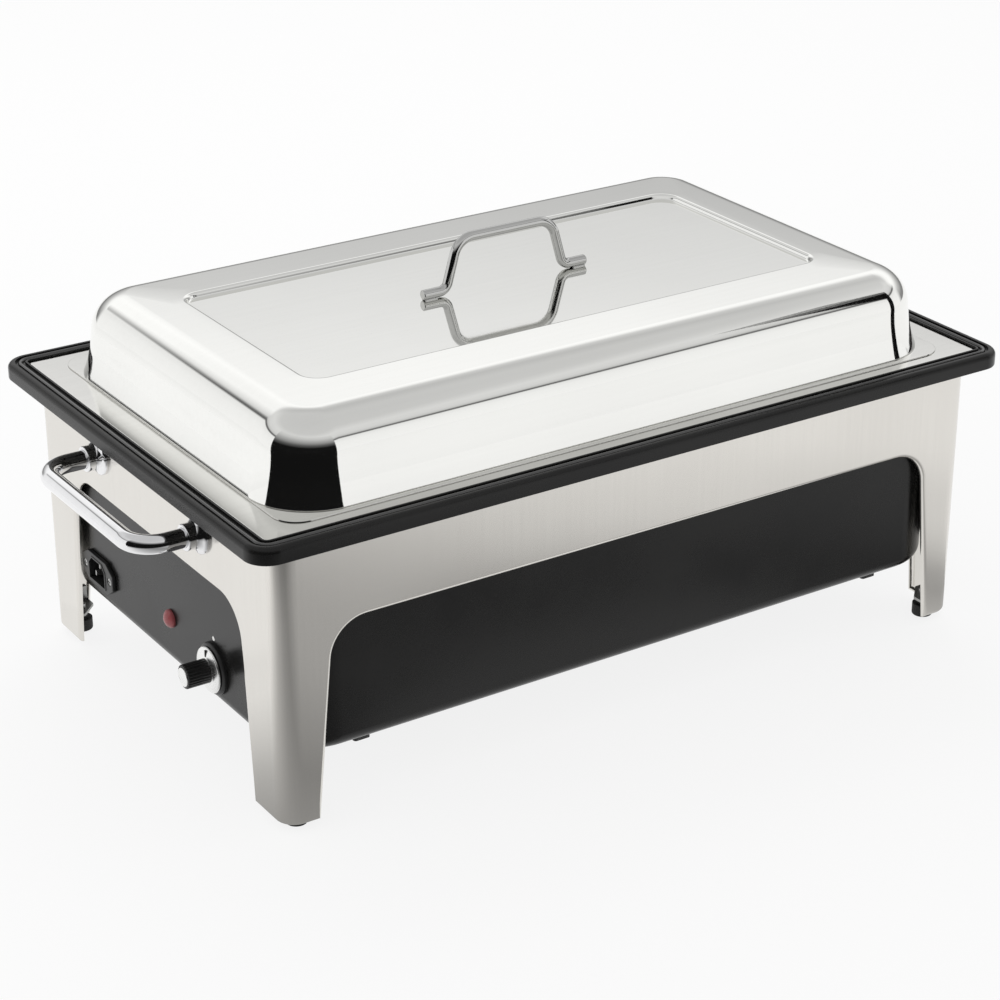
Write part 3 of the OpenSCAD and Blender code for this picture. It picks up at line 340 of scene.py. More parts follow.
def makeMouldGrain():
    # fine spark-eroded grain of moulded plastic, with faint patches of gloss
    group, source, out = newGroup("mouldGrain", [
        ("Grain Size", number, 900.0), ("Patch Size", number, 14.0),
        ("Smooth", number, 0.35), ("Dull", number, 0.5),
        ("Deep Tint", colour, (0.01, 0.01, 0.011, 1)), ("High Tint", colour, (0.02, 0.02, 0.021, 1))])
    place = addNode(group, "ShaderNodeTexCoord")
    grain = addNode(group, "ShaderNodeTexNoise", {"Detail": 2})
    patch = addNode(group, "ShaderNodeTexNoise", {"Detail": 5})
    mixed = addNode(group, "ShaderNodeMath", {1: 0.35}, operation="MULTIPLY_ADD")
    share = addNode(group, "ShaderNodeMapRange", {"From Min": 0.45, "From Max": 0.9}, clamp=True)
    linkAll(group, (place, "Object", grain, "Vector"), (source, "Grain Size", grain, "Scale"),
            (place, "Object", patch, "Vector"), (source, "Patch Size", patch, "Scale"),
            (grain, "Fac", mixed, 0), (patch, "Fac", mixed, 2), (mixed, 0, share, "Value"),
            (grain, "Fac", out, "Height"))
    tintAndRough(group, source, out, share, "Deep Tint", "High Tint")
    return group


sheetMarks = makeSheetMarks()
mouldGrain = makeMouldGrain()
print("shader groups ready")


def newMaterial(name, values):
    material = bpy.data.materials.new(name)
    material.use_nodes = True
    setInputs(material.node_tree.nodes["Principled BSDF"], values)
    return material


def finish(name, group, values, bump, bumpReach, **shader):
    # a Principled material whose colour, roughness and bump come from one of the groups
    material = newMaterial(name, shader)
    tree = material.node_tree
    base = tree.nodes["Principled BSDF"]
    effect = addNode(tree, "ShaderNodeGroup", values, node_tree=group)
    lift = addNode(tree, "ShaderNodeBump", {"Strength": bump, "Distance": bumpReach})
    linkAll(tree, (effect, "Tint", base, "Base Color"), (effect, "Rough", base, "Roughness"),
            (effect, "Height", lift, "Height"), (lift, "Normal", base, "Normal"))
    return material


def metal(name, clean, worn, smooth, dull, bump, reach=0.002, **values):
    settings = {"Clean Tint": (*clean, 1), "Worn Tint": (*worn, 1), "Smooth": smooth, "Dull": dull, **values}
    return finish(name, sheetMarks, settings, bump, reach, Metallic=1.0)


def plastic(name, deep, high, smooth, dull, bump=0.12, reach=0.0002, ior=1.46):
    settings = {"Deep Tint": (*deep, 1), "High Tint": (*high, 1), "Smooth": smooth, "Dull": dull}
    return finish(name, mouldGrain, settings, bump, reach, IOR=ior)


# name, two tints, smoothest and dullest roughness, bump
lidSteel = metal("lidSteel", (0.93, 0.93, 0.905), (0.9, 0.9, 0.875), 0.03, 0.06, 0.005)
standSteel = metal("standSteel", (0.76, 0.738, 0.697), (0.73, 0.708, 0.668), 0.13, 0.19, 0.006,
                   **{"Line Stretch": (1.0, 1.0, 0.02), "Line Size": 420.0})
bathSteel = metal("bathSteel", (0.8, 0.795, 0.77), (0.75, 0.745, 0.72), 0.07, 0.12, 0.005)
handleChrome = metal("handleChrome", (0.88, 0.88, 0.89), (0.82, 0.82, 0.83), 0.03, 0.07, 0.006)
# the lid wire's chrome is a darker copy of the handles' chrome: its lower tints are painted shade for the
# wire's dim look
shadedWireChrome = metal("shadedWireChrome", (0.6, 0.6, 0.59), (0.52, 0.52, 0.51), 0.04, 0.09, 0.006)
knobBright = metal("knobBright", (0.92, 0.92, 0.91), (0.86, 0.86, 0.85), 0.2, 0.3, 0.004)
zincSteel = metal("zincSteel", (0.6, 0.6, 0.6), (0.48, 0.48, 0.47), 0.25, 0.42, 0.05)
bracketSteel = metal("bracketSteel", (0.4, 0.4, 0.39), (0.3, 0.3, 0.29), 0.3, 0.45, 0.05)
spreaderAlloy = metal("spreaderAlloy", (0.77, 0.77, 0.78), (0.66, 0.66, 0.67), 0.3, 0.45, 0.05)
elementSteel = metal("elementSteel", (0.3, 0.29, 0.28), (0.2, 0.18, 0.17), 0.35, 0.55, 0.08)
sensorBrass = metal("sensorBrass", (0.72, 0.45, 0.27), (0.58, 0.34, 0.2), 0.2, 0.38, 0.04)
housingBlack = plastic("housingBlack", (0.005, 0.0049, 0.0047), (0.01, 0.0097, 0.0093), 0.22, 0.32, 0.08,
                       ior=1.36)
beadBlack = plastic("beadBlack", (0.008, 0.0078, 0.0076), (0.014, 0.0136, 0.013), 0.08, 0.14, 0.03, ior=1.9)
blackPlastic = plastic("blackPlastic", (0.008, 0.008, 0.008), (0.016, 0.016, 0.016), 0.28, 0.4)
paleControl = plastic("paleControl", (0.72, 0.7, 0.63), (0.8, 0.78, 0.72), 0.4, 0.55)
rubberBlack = plastic("rubberBlack", (0.012, 0.012, 0.012), (0.03, 0.03, 0.03), 0.6, 0.8, 0.3)
coverPaint = plastic("coverPaint", (0.018, 0.018, 0.018), (0.03, 0.03, 0.03), 0.35, 0.5, 0.2)
lampRed = plastic("lampRed", (0.27, 0.06, 0.065), (0.36, 0.11, 0.115), 0.12, 0.2, 0.03)
markWhite = plastic("markWhite", (0.82, 0.82, 0.8), (0.9, 0.9, 0.88), 0.4, 0.5)
fibreMat = plastic("fibreMat", (0.6, 0.53, 0.36), (0.8, 0.74, 0.56), 0.85, 0.95, 0.6, 0.001)
leadBrown = plastic("leadBrown", (0.16, 0.06, 0.03), (0.24, 0.1, 0.05), 0.4, 0.55)
leadBlack = plastic("leadBlack", (0.015, 0.015, 0.015), (0.03, 0.03, 0.03), 0.4, 0.55)
leadGreen = plastic("leadGreen", (0.2, 0.36, 0.04), (0.5, 0.55, 0.06), 0.4, 0.55)

cadFinish = (
    (standSteel, "stand"), (lidSteel, "lid_shell"), (shadedWireChrome, "lid_handle"),
    (bathSteel, "water_bath food_pan"),
    (handleChrome, "side_handle_left side_handle_right handle_bosses"), (knobBright, "knob_skirt knob_cap"),
    (zincSteel, "foot_screws cover_screws clamp_studs clamp_nuts thermostat_nut inlet_pins inlet_screws"),
    (zincSteel, "handle_screws thermostat_shaft"), (bracketSteel, "foot_brackets clamp_bars"),
    (spreaderAlloy, "heat_spreader"), (elementSteel, "heating_element"),
    (sensorBrass, "sensor_bulb capillary_tube earth_stud"), (housingBlack, "housing"),
    (blackPlastic, "thermal_cutout power_inlet dial_ring control_knob"),
    (paleControl, "thermostat_body lamp_holder terminal_block"), (rubberBlack, "rubber_feet bath_seal"),
    (coverPaint, "bottom_cover"), (lampRed, "indicator_lens"), (fibreMat, "insulation"),
    (leadBrown, "supply_leads heater_leads"), (leadBlack, "control_leads"), (leadGreen, "earth_lead"),
)
for material, names in cadFinish:
    for name in names.split():
        nodes[name].data.materials.clear()
        nodes[name].data.materials.append(material)
print("finishes set on the solids")


# lid: one drawn sheet, from its turned-in lip up to the sunk panel

lid = {"length": 522.4, "width": 309.4, "corner": 42, "base": 209.5, "lip": 5, "skirt": 32, "skirtIn": 3.2,
       "shoulderW": 27, "shoulderH": 24.4, "sheet": 1.0, "panelL": 411.6, "panelW": 181.6, "panelR": 14,
       "sink": 2.5, "slope": 1.8, "crest": 1.9, "dip": 1.0, "crown": 1.1, "crownLean": 2.5, "crownFade": 0.7,
       "stepReach": 9, "flareH": 25, "flareOut": 4.0, "footRound": 1.0, "straight": 3,
       "flareSteps": 12, "arcSteps": 40, "softSteps": 6, "steps": 20}


def makeLid():
    s = lid
    bigR = (s["shoulderW"] ** 2 + s["shoulderH"] ** 2) / (2 * s["shoulderH"])
    sweep = math.degrees(math.asin(s["shoulderW"] / bigR))
    flatIn = s["skirtIn"] + s["shoulderW"]
    top = s["skirt"] + s["shoulderH"]
    arc = arcPoints((0, -bigR), bigR, 90 - sweep, 90 - s["crownLean"], s["arcSteps"])
    shoulder = [(flatIn - x, top + z) for x, z in arc]
    # the skirt turns out a little at its foot
    slant = s["skirtIn"] / s["skirt"]
    heights = [s["flareH"] * i / s["flareSteps"] for i in range(2, s["flareSteps"] + 1)]
    flare = [(slant * z - s["flareOut"] * (1 - z / s["flareH"]) ** 2, z) for z in heights]
    foot = softSection([(s["lip"], 0, 0), (-s["flareOut"], 0, s["footRound"]), (*flare[0], 0)])
    straight = s["flareH"] + s["straight"]
    outer = foot + flare[1:] + [(slant * straight, straight)] + shoulder
    reach = s["stepReach"]
    step = softSection([(reach, s["crown"] * s["crownFade"], 0), (0, s["crown"], s["crest"]),
                        (-s["slope"], -s["sink"], s["dip"]), (-reach, -s["sink"], 0)], s["softSteps"])

    shellRing = ringMaker(s["length"], s["width"], s["corner"], s["base"])
    panelRing = ringMaker(s["panelL"], s["panelW"], s["panelR"], s["base"] + top)
    inner = offsetSection(outer[len(foot) - 1:], -s["sheet"])
    bm = bmesh.new()
    skin = [shellRing(*p) for p in outer] + [panelRing(-grow, z) for grow, z in step]
    back = [panelRing(-grow, z - s["sheet"]) for grow, z in step[::-1]]
    back += [shellRing(*p) for p in inner[::-1]] + [shellRing(s["lip"], s["sheet"])]
    rows = ringSkin(bm, skin + back, s["steps"], loop=True)
    # the flat panel closes both skins where the two rings of the panel meet
    above, below = rows[len(skin) - 1], rows[len(skin)]
    for f in [f for f in bm.faces if all(v in above or v in below for v in f.verts)]:
        bm.faces.remove(f)
    bm.faces.new(above)
    bm.faces.new(below[::-1])
    newPiece("lidShell", bm, lidSteel, "lid", ["lid_shell"], sharp=40)


makeLid()

lidWire = {"wire": 7, "panel": 263.4, "span": 96, "foot": 19, "height": 39, "top": 76, "footBend": 7,
           "topBend": 15, "weld": 0.4, "endRound": 0.8, "bendSteps": 18, "sides": 40,
           "seamR": 0.75, "seamFrom": 8, "seamL": 10, "seamOut": 1.9, "seamLift": 0.35, "seamRound": 0.5,
           "seamSteps": 12, "seamSides": 12}


def makeLidWire():
    s = lidWire
    low, high = s["panel"] + s["weld"] + s["wire"] / 2, s["panel"] + s["height"]
    half, across = s["span"] / 2, (0, 1, 0)
    route = [(-half - s["foot"], 0, low), (-half, 0, low), (-s["top"] / 2, 0, high),
             (s["top"] / 2, 0, high), (half, 0, low), (half + s["foot"], 0, low)]
    path = bentPath(route, [s["footBend"], s["topBend"], s["topBend"], s["footBend"]], s["bendSteps"])
    bm = bmesh.new()
    wireTube(bm, path, s["wire"] / 2, across, s["sides"], s["endRound"])
    places = [half + s["seamFrom"] + s["seamL"] * i / s["seamSteps"] for i in range(s["seamSteps"] + 1)]
    for end in (-1, 1):  # weld seams, a low bead on each side of the foot
        for side in (-1, 1):
            since = len(bm.verts)
            run = [Vector((end * x, side * s["seamOut"], s["panel"] + s["seamLift"])) for x in places]
            wireTube(bm, run, s["seamR"], across, s["seamSides"], s["seamRound"])
            placeNew(bm, since, lambda p: Vector((p.x, p.y, max(p.z, s["panel"]))))
    newPiece("lidWire", bm, shadedWireChrome, "lid", ["lid_handle"], sharp=40)


makeLidWire()
print("lid made")


# black housing: tub and rim in one moulding, with a bead laid in the rim

housing = {"rimL": 598, "rimW": 374, "rimR": 17, "rimLow": 198.5, "rimTop": 210, "rimWall": 3, "rimIn": 14,
           "edge": 4, "beadAt": 8.7, "bead": 1.5, "beadArc": (-40, 220, 18), "beadGap": 0.2, "groove": 1.8,
           "grooveW": 2.3, "grooveDraft": 0.5, "ledge": 206.5, "under": 203.5, "fillet": 1.2, "tubL": 543.6,
           "tubW": 332.6, "tubR": 40, "wall": 2.5, "tubLow": 46.5, "baseR": 10, "lip": 25, "arcSteps": 8,
           "baseSteps": 6, "steps": 14, "cutReach": 8, "holeSteps": 32, "socket": (101, 72.5, 28.1, 20.6),
           "lampHole": (-8, 82.5, 9.2), "shaftHole": (-70, 73, 10.2),
           # small roundings as pairs of inset and height
           "filletLine": ((1.05, -0.6), (0.6, -0.15), (0, 0)),
           "innerFoot": ((0, 0.8), (0.3, 0.2), (0.9, 0)), "outerFoot": ((0.9, 0), (0.3, 0.25), (0, 0.9)),
           "grooveEdge": ((0, 0), (0.25, -0.12), (0.4, -0.5)),
           "innerEdge": ((0.7, 0), (0.2, -0.2), (0, -0.7)), "ledgeEdge": ((0.8, 0), (0.2, -0.2), (0, -0.8))}


def makeHousing():
    s = housing
    rim = ringMaker(s["rimL"], s["rimW"], s["rimR"])
    tub = ringMaker(s["tubL"], s["tubW"], s["tubR"])
    low, top, r = s["tubLow"], s["rimTop"], s["baseR"]
    rings = [tub(s["lip"], low)]
    rings += [tub(r - x, low + r + z) for x, z in arcPoints((0, 0), r, -90, 0, s["arcSteps"])]
    rings += [tub(0, s["under"] - s["fillet"])]
    rings += [tub(x - s["fillet"], s["under"] + z) for x, z in s["filletLine"]]
    rings += [rim(s["rimWall"], s["under"])]
    rings += [rim(s["rimWall"] - x, s["rimLow"] + z) for x, z in s["innerFoot"]]
    rings += [rim(x, s["rimLow"] + z) for x, z in s["outerFoot"]]
    edge = arcPoints((0, 0), s["edge"], 0, 90, s["arcSteps"])
    rings += [rim(s["edge"] - x, top - s["edge"] + z) for x, z in edge]
    at, bead, deep = s["beadAt"], s["bead"], s["groove"]
    far = bead + s["grooveW"]
    side = [(far - x, z) for x, z in s["grooveEdge"]]
    side += [(far - s["grooveDraft"], -deep), (bead + s["beadGap"], -deep)]
    rings += [rim(at - x, top + z) for x, z in side]
    rings += [rim(at + x, top + z) for x, z in side[::-1]]
    rings += [rim(s["rimIn"] - x, top + z) for x, z in s["innerEdge"]]
    rings += [rim(s["rimIn"], s["ledge"])]
    rings += [tub(s["wall"] - x, s["ledge"] + z) for x, z in s["ledgeEdge"]]
    rings += [tub(s["wall"], low + r)]
    rings += [tub(r - x, low + r + z) for x, z in arcPoints((0, 0), r - s["wall"], 0, -90, s["baseSteps"])]
    rings += [tub(s["lip"], low + s["wall"])]
    bm = bmesh.new()
    ringSkin(bm, rings, s["steps"], loop=True)
    piece = newPiece("housingTub", bm, housingBlack, "base", ["housing"], sharp=30)

    bm = bmesh.new()  # polished bead that lies in the rim's groove
    beadLine = arcPoints((0, 0), bead, *s["beadArc"])
    ringSkin(bm, [rim(at - x, top - bead + z) for x, z in beadLine], s["steps"], loop=True)
    newPiece("rimBead", bm, beadBlack, "base", [], sharp=30)

    cut = bmesh.new()  # openings in the control wall
    reach = s["cutReach"]
    y, z, w, h = s["socket"]
    prism(cut, boxOutline(w, h, y, z), -reach, reach)
    for y, z, d in (s["lampHole"], s["shaftHole"]):
        since = len(cut.verts)
        lathe(cut, [(d / 2, -reach), (d / 2, reach)], s["holeSteps"])
        placeNew(cut, since, shifted(y, z))
    wallX = -s["tubL"] / 2
    placeNew(cut, 0, lambda p: Vector((wallX + p.z, p.x, p.y)))
    carveOut(piece, cut)


makeHousing()
print("housing made")


# stand: one bent sheet with an arch in each side

stand = {"length": 558, "width": 347, "corner": 14, "sheet": 1.2, "top": 203.5, "low": 5, "archTop": 141,
         "archR": 26, "sideLow": 26, "sideTop": 39.5, "endLow": 42.5, "endTop": 54.2, "overrun": 1,
         "flange": 5, "roll": 3.2, "rollIn": 3.5, "mitreFloor": 0.5, "legSteps": 8, "archSteps": 16,
         "cornerSteps": 12, "rollSteps": 6, "rollInSteps": 4}


def archLine(halfFlat, halfLow, halfTop):
    # the lower edge of one side, from one corner to the other
    s = stand
    low, top, r = s["low"], s["archTop"], s["archR"]
    run, rise = halfLow - halfTop, top - low + s["overrun"]
    lean = math.atan(run / rise)
    cx, cz = halfTop - r * (1 - math.sin(lean)) / math.cos(lean), top - r
    tip = (cx + r * math.cos(lean), cz + r * math.sin(lean))
    foot = halfTop + run * (top - low) / rise
    side = [(halfFlat, low), ((halfFlat + foot) / 2, low)]
    side += [(foot + (tip[0] - foot) * t, low + (tip[1] - low) * t) for t in shares(s["legSteps"])]
    side += arcPoints((cx, cz), r, math.degrees(lean), 90, s["archSteps"])[1:]
    right = side + [(cx / 2, top), (0, top)]
    return [(-x, z) for x, z in right] + right[-2::-1]


def makeStand():
    s = stand
    halfL, halfW, r = s["length"] / 2, s["width"] / 2, s["corner"]
    columns = []  # place, outward normal, along, height of the lower edge
    sides = ((halfL, halfW, s["sideLow"], s["sideTop"]), (halfW, halfL, s["endLow"], s["endTop"]))
    for k, (half, across, lowIn, topIn) in enumerate(sides * 2):
        turn = math.radians(90 * k)
        along = Vector((math.cos(turn), math.sin(turn)))
        out = Vector((along.y, -along.x))
        for x, z in archLine(half - r, half - lowIn, half - topIn):
            columns.append((along * x + out * across, out, along, z))
        centre = along * (half - r) + out * (across - r)
        for i in range(1, s["cornerSteps"]):
            a = turn - math.pi / 2 + math.pi / 2 * i / s["cornerSteps"]
            n = Vector((math.cos(a), math.sin(a)))
            columns.append((centre + n * r, n, Vector((-n.y, n.x)), s["low"]))
    t, roll, rollIn, top = s["sheet"], s["roll"], s["rollIn"], s["top"]
    outerRoll = arcPoints((roll, roll), roll, 180, 270, s["rollSteps"])
    innerRoll = arcPoints((roll, roll), roll - t, 270, 180, s["rollInSteps"])
    bm = bmesh.new()
    rows = []
    for i, (p, n, along, z) in enumerate(columns):
        before, after = columns[i - 1], columns[(i + 1) % len(columns)]
        a = Vector(((p - before[0]).length, z - before[3])).normalized()
        b = Vector(((after[0] - p).length, after[3] - z)).normalized()
        inward = (Vector((-a.y, a.x)) + Vector((-b.y, b.x))).normalized()
        inward /= max(s["mitreFloor"], inward.dot(Vector((-a.y, a.x))))

        def point(depth, lift, height=None):
            q = p - n * depth + along * (inward.x * lift)
            return bm.verts.new((q.x, q.y, z + inward.y * lift if height is None else height))

        # outer face, the edge rolled inwards, inner face, then the top flange
        row = [point(0, 0, top)] + [point(x, y) for x, y in outerRoll]
        row += [point(rollIn, 0), point(rollIn, t)] + [point(x, y) for x, y in innerRoll]
        row += [point(t, 0, top - t), point(t + s["flange"], 0, top - t), point(t + s["flange"], 0, top)]
        rows.append(row)
    joinRows(bm, rows, loop=True)
    newPiece("standSheet", bm, standSteel, "base", ["stand"], sharp=28)


makeStand()
print("stand made")


# drawn pans: the water bath and the food pan

bath = {"length": 514, "width": 309, "corner": 43, "depth": 100, "lean": 2, "baseR": 14, "sheet": 1.0,
        "flangeL": 568, "flangeW": 344, "flangeR": 4, "top": 208.5, "hem": 0.45}
pan = {"length": 504, "width": 299, "corner": 38, "depth": 65, "lean": 3, "baseR": 14, "sheet": 1.0,
       "flangeL": 530, "flangeW": 325, "flangeR": 18, "top": 209.5, "hem": 0.45}
drawing = {"lipIn": 2.2, "lipRound": 2.0, "baseEase": 1.3, "floorIn": 30, "softSteps": 8, "steps": 14,
           "hemTop": 0.3, "hemLow": 0.4, "hemUnder": 0.5}  # what both pans share


def makePan(name, s, material, body, node):
    d, t, h = drawing, s["sheet"], s["hem"]
    lean = math.tan(math.radians(s["lean"]))
    bodyRing = ringMaker(s["length"], s["width"], s["corner"], s["top"])
    flangeRing = ringMaker(s["flangeL"], s["flangeW"], s["flangeR"], s["top"])

    def wall(extra):
        # section from the flange down to the floor, extra inside the outer skin
        depth = extra - s["depth"]
        foot = extra - depth * lean
        line = [(extra - d["lipIn"], extra - t, 0), (extra, extra - t, d["lipRound"]),
                (foot, depth, s["baseR"] * d["baseEase"] - extra), (foot + d["floorIn"], depth, 0)]
        return softSection(line, d["softSteps"])

    rings = [bodyRing(*p) for p in wall(t)[::-1]]
    rings += [flangeRing(h, 0), flangeRing(h * d["hemTop"], -h * d["hemTop"]), flangeRing(0, -h)]
    rings += [flangeRing(0, h * d["hemLow"] - t), flangeRing(h * d["hemUnder"], -t)]
    rings += [bodyRing(*p) for p in wall(0)]
    bm = bmesh.new()
    ringSkin(bm, rings, d["steps"], startCap=True, endCap=True)
    newPiece(name, bm, material, body, [node], sharp=40)


makePan("bathPan", bath, bathSteel, "base", "water_bath")
makePan("foodPan", pan, bathSteel, "pan", "food_pan")
print("pans made")


# side handles: bent bar, boss with collar

sideBar = {"pitch": 146, "height": 173, "face": 279, "reach": 43.5, "bar": 13, "bend": 20, "bossD": 27,
           "bossT": 4, "bossEdge": 2.2, "collarD": 18, "collarL": 12, "flareW": 1.6, "flareL": 2,
           "barSeat": 1, "fit": 0.05, "screwR": 2.6, "bendSteps": 24, "sides": 48, "turnSteps": 56,
           "softSteps": 6}


def makeSideHandles():
    s = sideBar
    half, seat, out = s["pitch"] / 2, s["face"] + s["bossT"], s["face"] + s["reach"]
    for sign, name in ((-1, "left"), (1, "right")):
        route = [(sign * seat, -half, s["height"]), (sign * out, -half, s["height"]),
                 (sign * out, half, s["height"]), (sign * seat, half, s["height"])]
        bm = bmesh.new()
        wireTube(bm, bentPath(route, [s["bend"]] * 2, s["bendSteps"]), s["bar"] / 2, (0, 0, 1), s["sides"])
        newPiece("sideBar-" + name, bm, handleChrome, "base", ["side_handle_" + name],
                 sharp=40)
    r, c, b = s["bossD"] / 2, s["collarD"] / 2, s["bar"] / 2 + s["fit"]
    t, end = s["bossT"], s["collarL"]
    section = softSection([
        (s["screwR"], 0, 0), (r, 0, 0.3), (r, s["bossEdge"], 1.6), (c + s["flareW"], t, 1.5),
        (c, t + s["flareL"], 1.2), (c, end, 1.3), (b, end, 0.4), (b, t + s["barSeat"], 0)], s["softSteps"])
    bm = bmesh.new()
    for sx in (-1, 1):
        for sy in (-1, 1):
            since = len(bm.verts)
            lathe(bm, section, s["turnSteps"])
            placeNew(bm, since, lambda p: Vector((
                sx * (s["face"] + p.z), sy * half + p.x, s["height"] + p.y)))
    newPiece("armBosses", bm, handleChrome, "base", ["handle_bosses"], sharp=35)


makeSideHandles()
print("side handles made")


# control end: everything here is made standing on Z and turned to point along -X from the wall

controlWall = -271.8


def onWall(y, z, out=0.0):
    return lambda p: Vector((controlWall - out - p.z, y - p.x, z + p.y))


def turnedPiece(name, section, steps, place, material, body, stands, sharp=30, ripple=None, caps=True):
    bm = bmesh.new()
    lathe(bm, section, steps, ripple, caps)
    placeNew(bm, 0, onWall(*place))
    newPiece(name, bm, material, body, stands, sharp)


knob = {"y": -70, "z": 73, "dialD": 36, "dialT": 3.4, "dialHoleR": 8.6, "dialSlope": 1.6, "dialEdge": 1.2,
        "gap": 0.5, "skirtD": 32, "skirtT": 3, "gripD": 16.5, "gripL": 16, "gripRings": (6, 12), "hubR": 6,
        "shaftR": 3.05, "fit": 0.05, "flutes": 24, "fluteDepth": 0.6, "fluteFrom": 0.5, "fluteIn": 1.2,
        "fluteSharp": 2.2, "capD": 13, "capT": 1.6, "capSeat": 0.8, "rimIn": 1.4, "faceIn": 1.8,
        "faceLow": 0.25, "faceMid": 0.1, "centreR": 0.3, "seatR": 0.4, "dotZ": 94.5, "dotD": 3.2,
        "dotT": 0.12, "dotSide": 0.08, "dotIn": 0.2, "pointer": ((0.6, 10.2), (0.45, 14.8)),
        "pointerT": (0.9, 3.0), "pointerEdge": 0.1, "dialSteps": 72, "skirtSteps": 80, "fluteSteps": 8,
        "capSteps": 64, "dotSteps": 32,
        # inset, height and rounding along the skirt's edge, and along the step up to the grip
        "skirtEdge": ((0.4, 0, 0.3), (0, 0.6, 0.3), (0.5, 1.5, 0.6), (4, 2.5, 2)),
        "skirtStep": ((1.4, 2.75, 1), (0.7, 3, 0.4))}


def makeKnob():
    s = knob
    y, z = s["y"], s["z"]
    knobAt = s["dialT"] + s["gap"]
    gripAt = knobAt + s["skirtT"]

    outer, hole, t = s["dialD"] / 2, s["dialHoleR"], s["dialT"]
    section = softSection([(hole, 0, 0), (outer, 0, 0), (outer, t - s["dialEdge"], 0.6),
                           (outer - s["dialSlope"], t, 0.8), (hole, t, 0.3), (hole, 0, 0)])
    turnedPiece("dialBezel", section, s["dialSteps"], (y, z), blackPlastic, "base", ["dial_ring"],
                caps=False)

    r, g, hub, t = s["skirtD"] / 2, s["gripD"] / 2, s["hubR"] + s["fit"], s["skirtT"]
    line = [(r - x, high, soft) for x, high, soft in s["skirtEdge"]]
    line += [(g + x, high, soft) for x, high, soft in s["skirtStep"]]
    section = softSection([(hub, 0, 0)] + line + [(hub, t, 0), (hub, 0, 0)])
    turnedPiece("knobSkirtDisc", section, s["skirtSteps"], (y, z, knobAt), knobBright, "knob", ["knob_skirt"],
                caps=False)

    def flutes(radius, high, angle):
        if radius < g - s["fluteIn"] or high < s["fluteFrom"]:
            return radius
        wave = 0.5 - 0.5 * math.cos(math.radians(angle * s["flutes"]))
        return radius - s["fluteDepth"] * (1 - wave) ** s["fluteSharp"]

    c, end, seat = s["capD"] / 2 + s["fit"], s["gripL"], s["gripL"] - s["capSeat"]
    section = softSection([(s["shaftR"], -t, 0), (s["hubR"], -t, 0), (s["hubR"], 0, 0), (g, 0, 0.4)]
                          + [(g, high, 0) for high in s["gripRings"]]
                          + [(g, end, 1.0), (c, end, 0.2), (c, seat, 0), (s["seatR"], seat, 0)])
    turnedPiece("knobGrip", section, s["flutes"] * s["fluteSteps"], (y, z, gripAt), blackPlastic, "knob",
                ["control_knob"], ripple=flutes)

    c, t, middle = s["capD"] / 2, s["capT"], s["centreR"]
    section = softSection([(middle, 0, 0), (c, 0, 0), (c, t, 0.5), (c - s["rimIn"], t, 0.3),
                           (c - s["faceIn"], t - s["faceLow"], 0.2), (middle, t - s["faceMid"], 0)])
    turnedPiece("knobEndCap", section, s["capSteps"], (y, z, gripAt + seat), knobBright, "knob", ["knob_cap"])

    bm = bmesh.new()  # pointer line pressed on the skirt
    (low, near), (high, far) = s["pointer"]
    prism(bm, [(-low, near), (low, near), (high, far), (-high, far)], *s["pointerT"], s["pointerEdge"])
    placeNew(bm, 0, onWall(y, z, knobAt))
    newPiece("knobPointer", bm, blackPlastic, "knob", [])

    r, t, inset = s["dotD"] / 2, s["dotT"], s["dotIn"]  # printed dot on the wall
    section = [(r, 0), (r, s["dotSide"]), (r - inset, t), (inset, t)]
    turnedPiece("indexDot", section, s["dotSteps"], (y, s["dotZ"]), markWhite, "base", [],
                sharp=32)


makeKnob()

lamp = {"y": -8, "z": 82.5, "lensD": 13, "edge": 1.5, "dome": 3.5, "neckD": 9, "neckL": 2.5, "bevelW": 0.25,
        "bevelH": 0.3, "domeSteps": 12, "steps": 56}


def makeLamp():
    s = lamp
    r, neck, edge = s["lensD"] / 2, s["neckD"] / 2, s["edge"]
    domeR = (r ** 2 + s["dome"] ** 2) / (2 * s["dome"])
    bevel = r - s["bevelW"]
    section = [(neck, -s["neckL"]), (neck, 0), (r, 0), (r, edge - s["bevelH"]), (bevel, edge)]
    lean = math.degrees(math.asin(bevel / domeR))
    section += arcPoints((0, edge + s["dome"] - domeR), domeR, 90 - lean, 90, s["domeSteps"])[:-1]
    turnedPiece("lampLens", section, s["steps"], (s["y"], s["z"]), lampRed, "base", ["indicator_lens"])


makeLamp()

inlet = {"y": 101, "z": 72.5, "flangeW": 48, "flangeH": 24, "earH": 5.6, "flangeT": 3, "edge": 0.7,
         "seatGap": 0.02, "bodyW": 28, "bodyH": 20.5, "bodyD": 20, "bodyIn": 0.4, "socketW": 24,
         "socketH": 16.5, "socketD": 16, "socketCut": 4.5, "socketOver": 5, "lipW": 1.1, "lipH": 0.5,
         "lipIn": 0.4, "lipEdge": 0.2, "lipCut": 0.6, "pitch": 38, "headD": 5.6, "headFit": 0.1,
         "headSeat": 1.0, "dish": 6.4, "dishLow": 2.6, "dishTop": 0.2, "dishOver": 3, "shankR": 1.5,
         "shankL": 3, "slotL": 3.6, "slotW": 0.9, "slotD": 0.9, "slotOver": 2,
         "pins": ((-7, -4), (7, -4), (0, 4)), "pinW": 2, "pinH": 4, "pinOut": 1, "pinIn": 14,
         "pinEdge": 0.5, "holeSteps": 32, "headSteps": 40, "headTop": (0.1, 3.0),
         # share of the radius and height along the screw's head
         "headDome": ((1, 1.05), (1, 2.3), (0.93, 2.6), (0.7, 2.85), (0.3, 2.98))}


def socketOutline(grow):
    s = inlet
    w, h = s["socketW"] / 2 + grow, s["socketH"] / 2 + grow
    cut = s["socketCut"] + grow * s["lipCut"]
    return [(-w, -h), (w, -h), (w, h - cut), (w - cut, h), (cut - w, h), (-w, h - cut)]


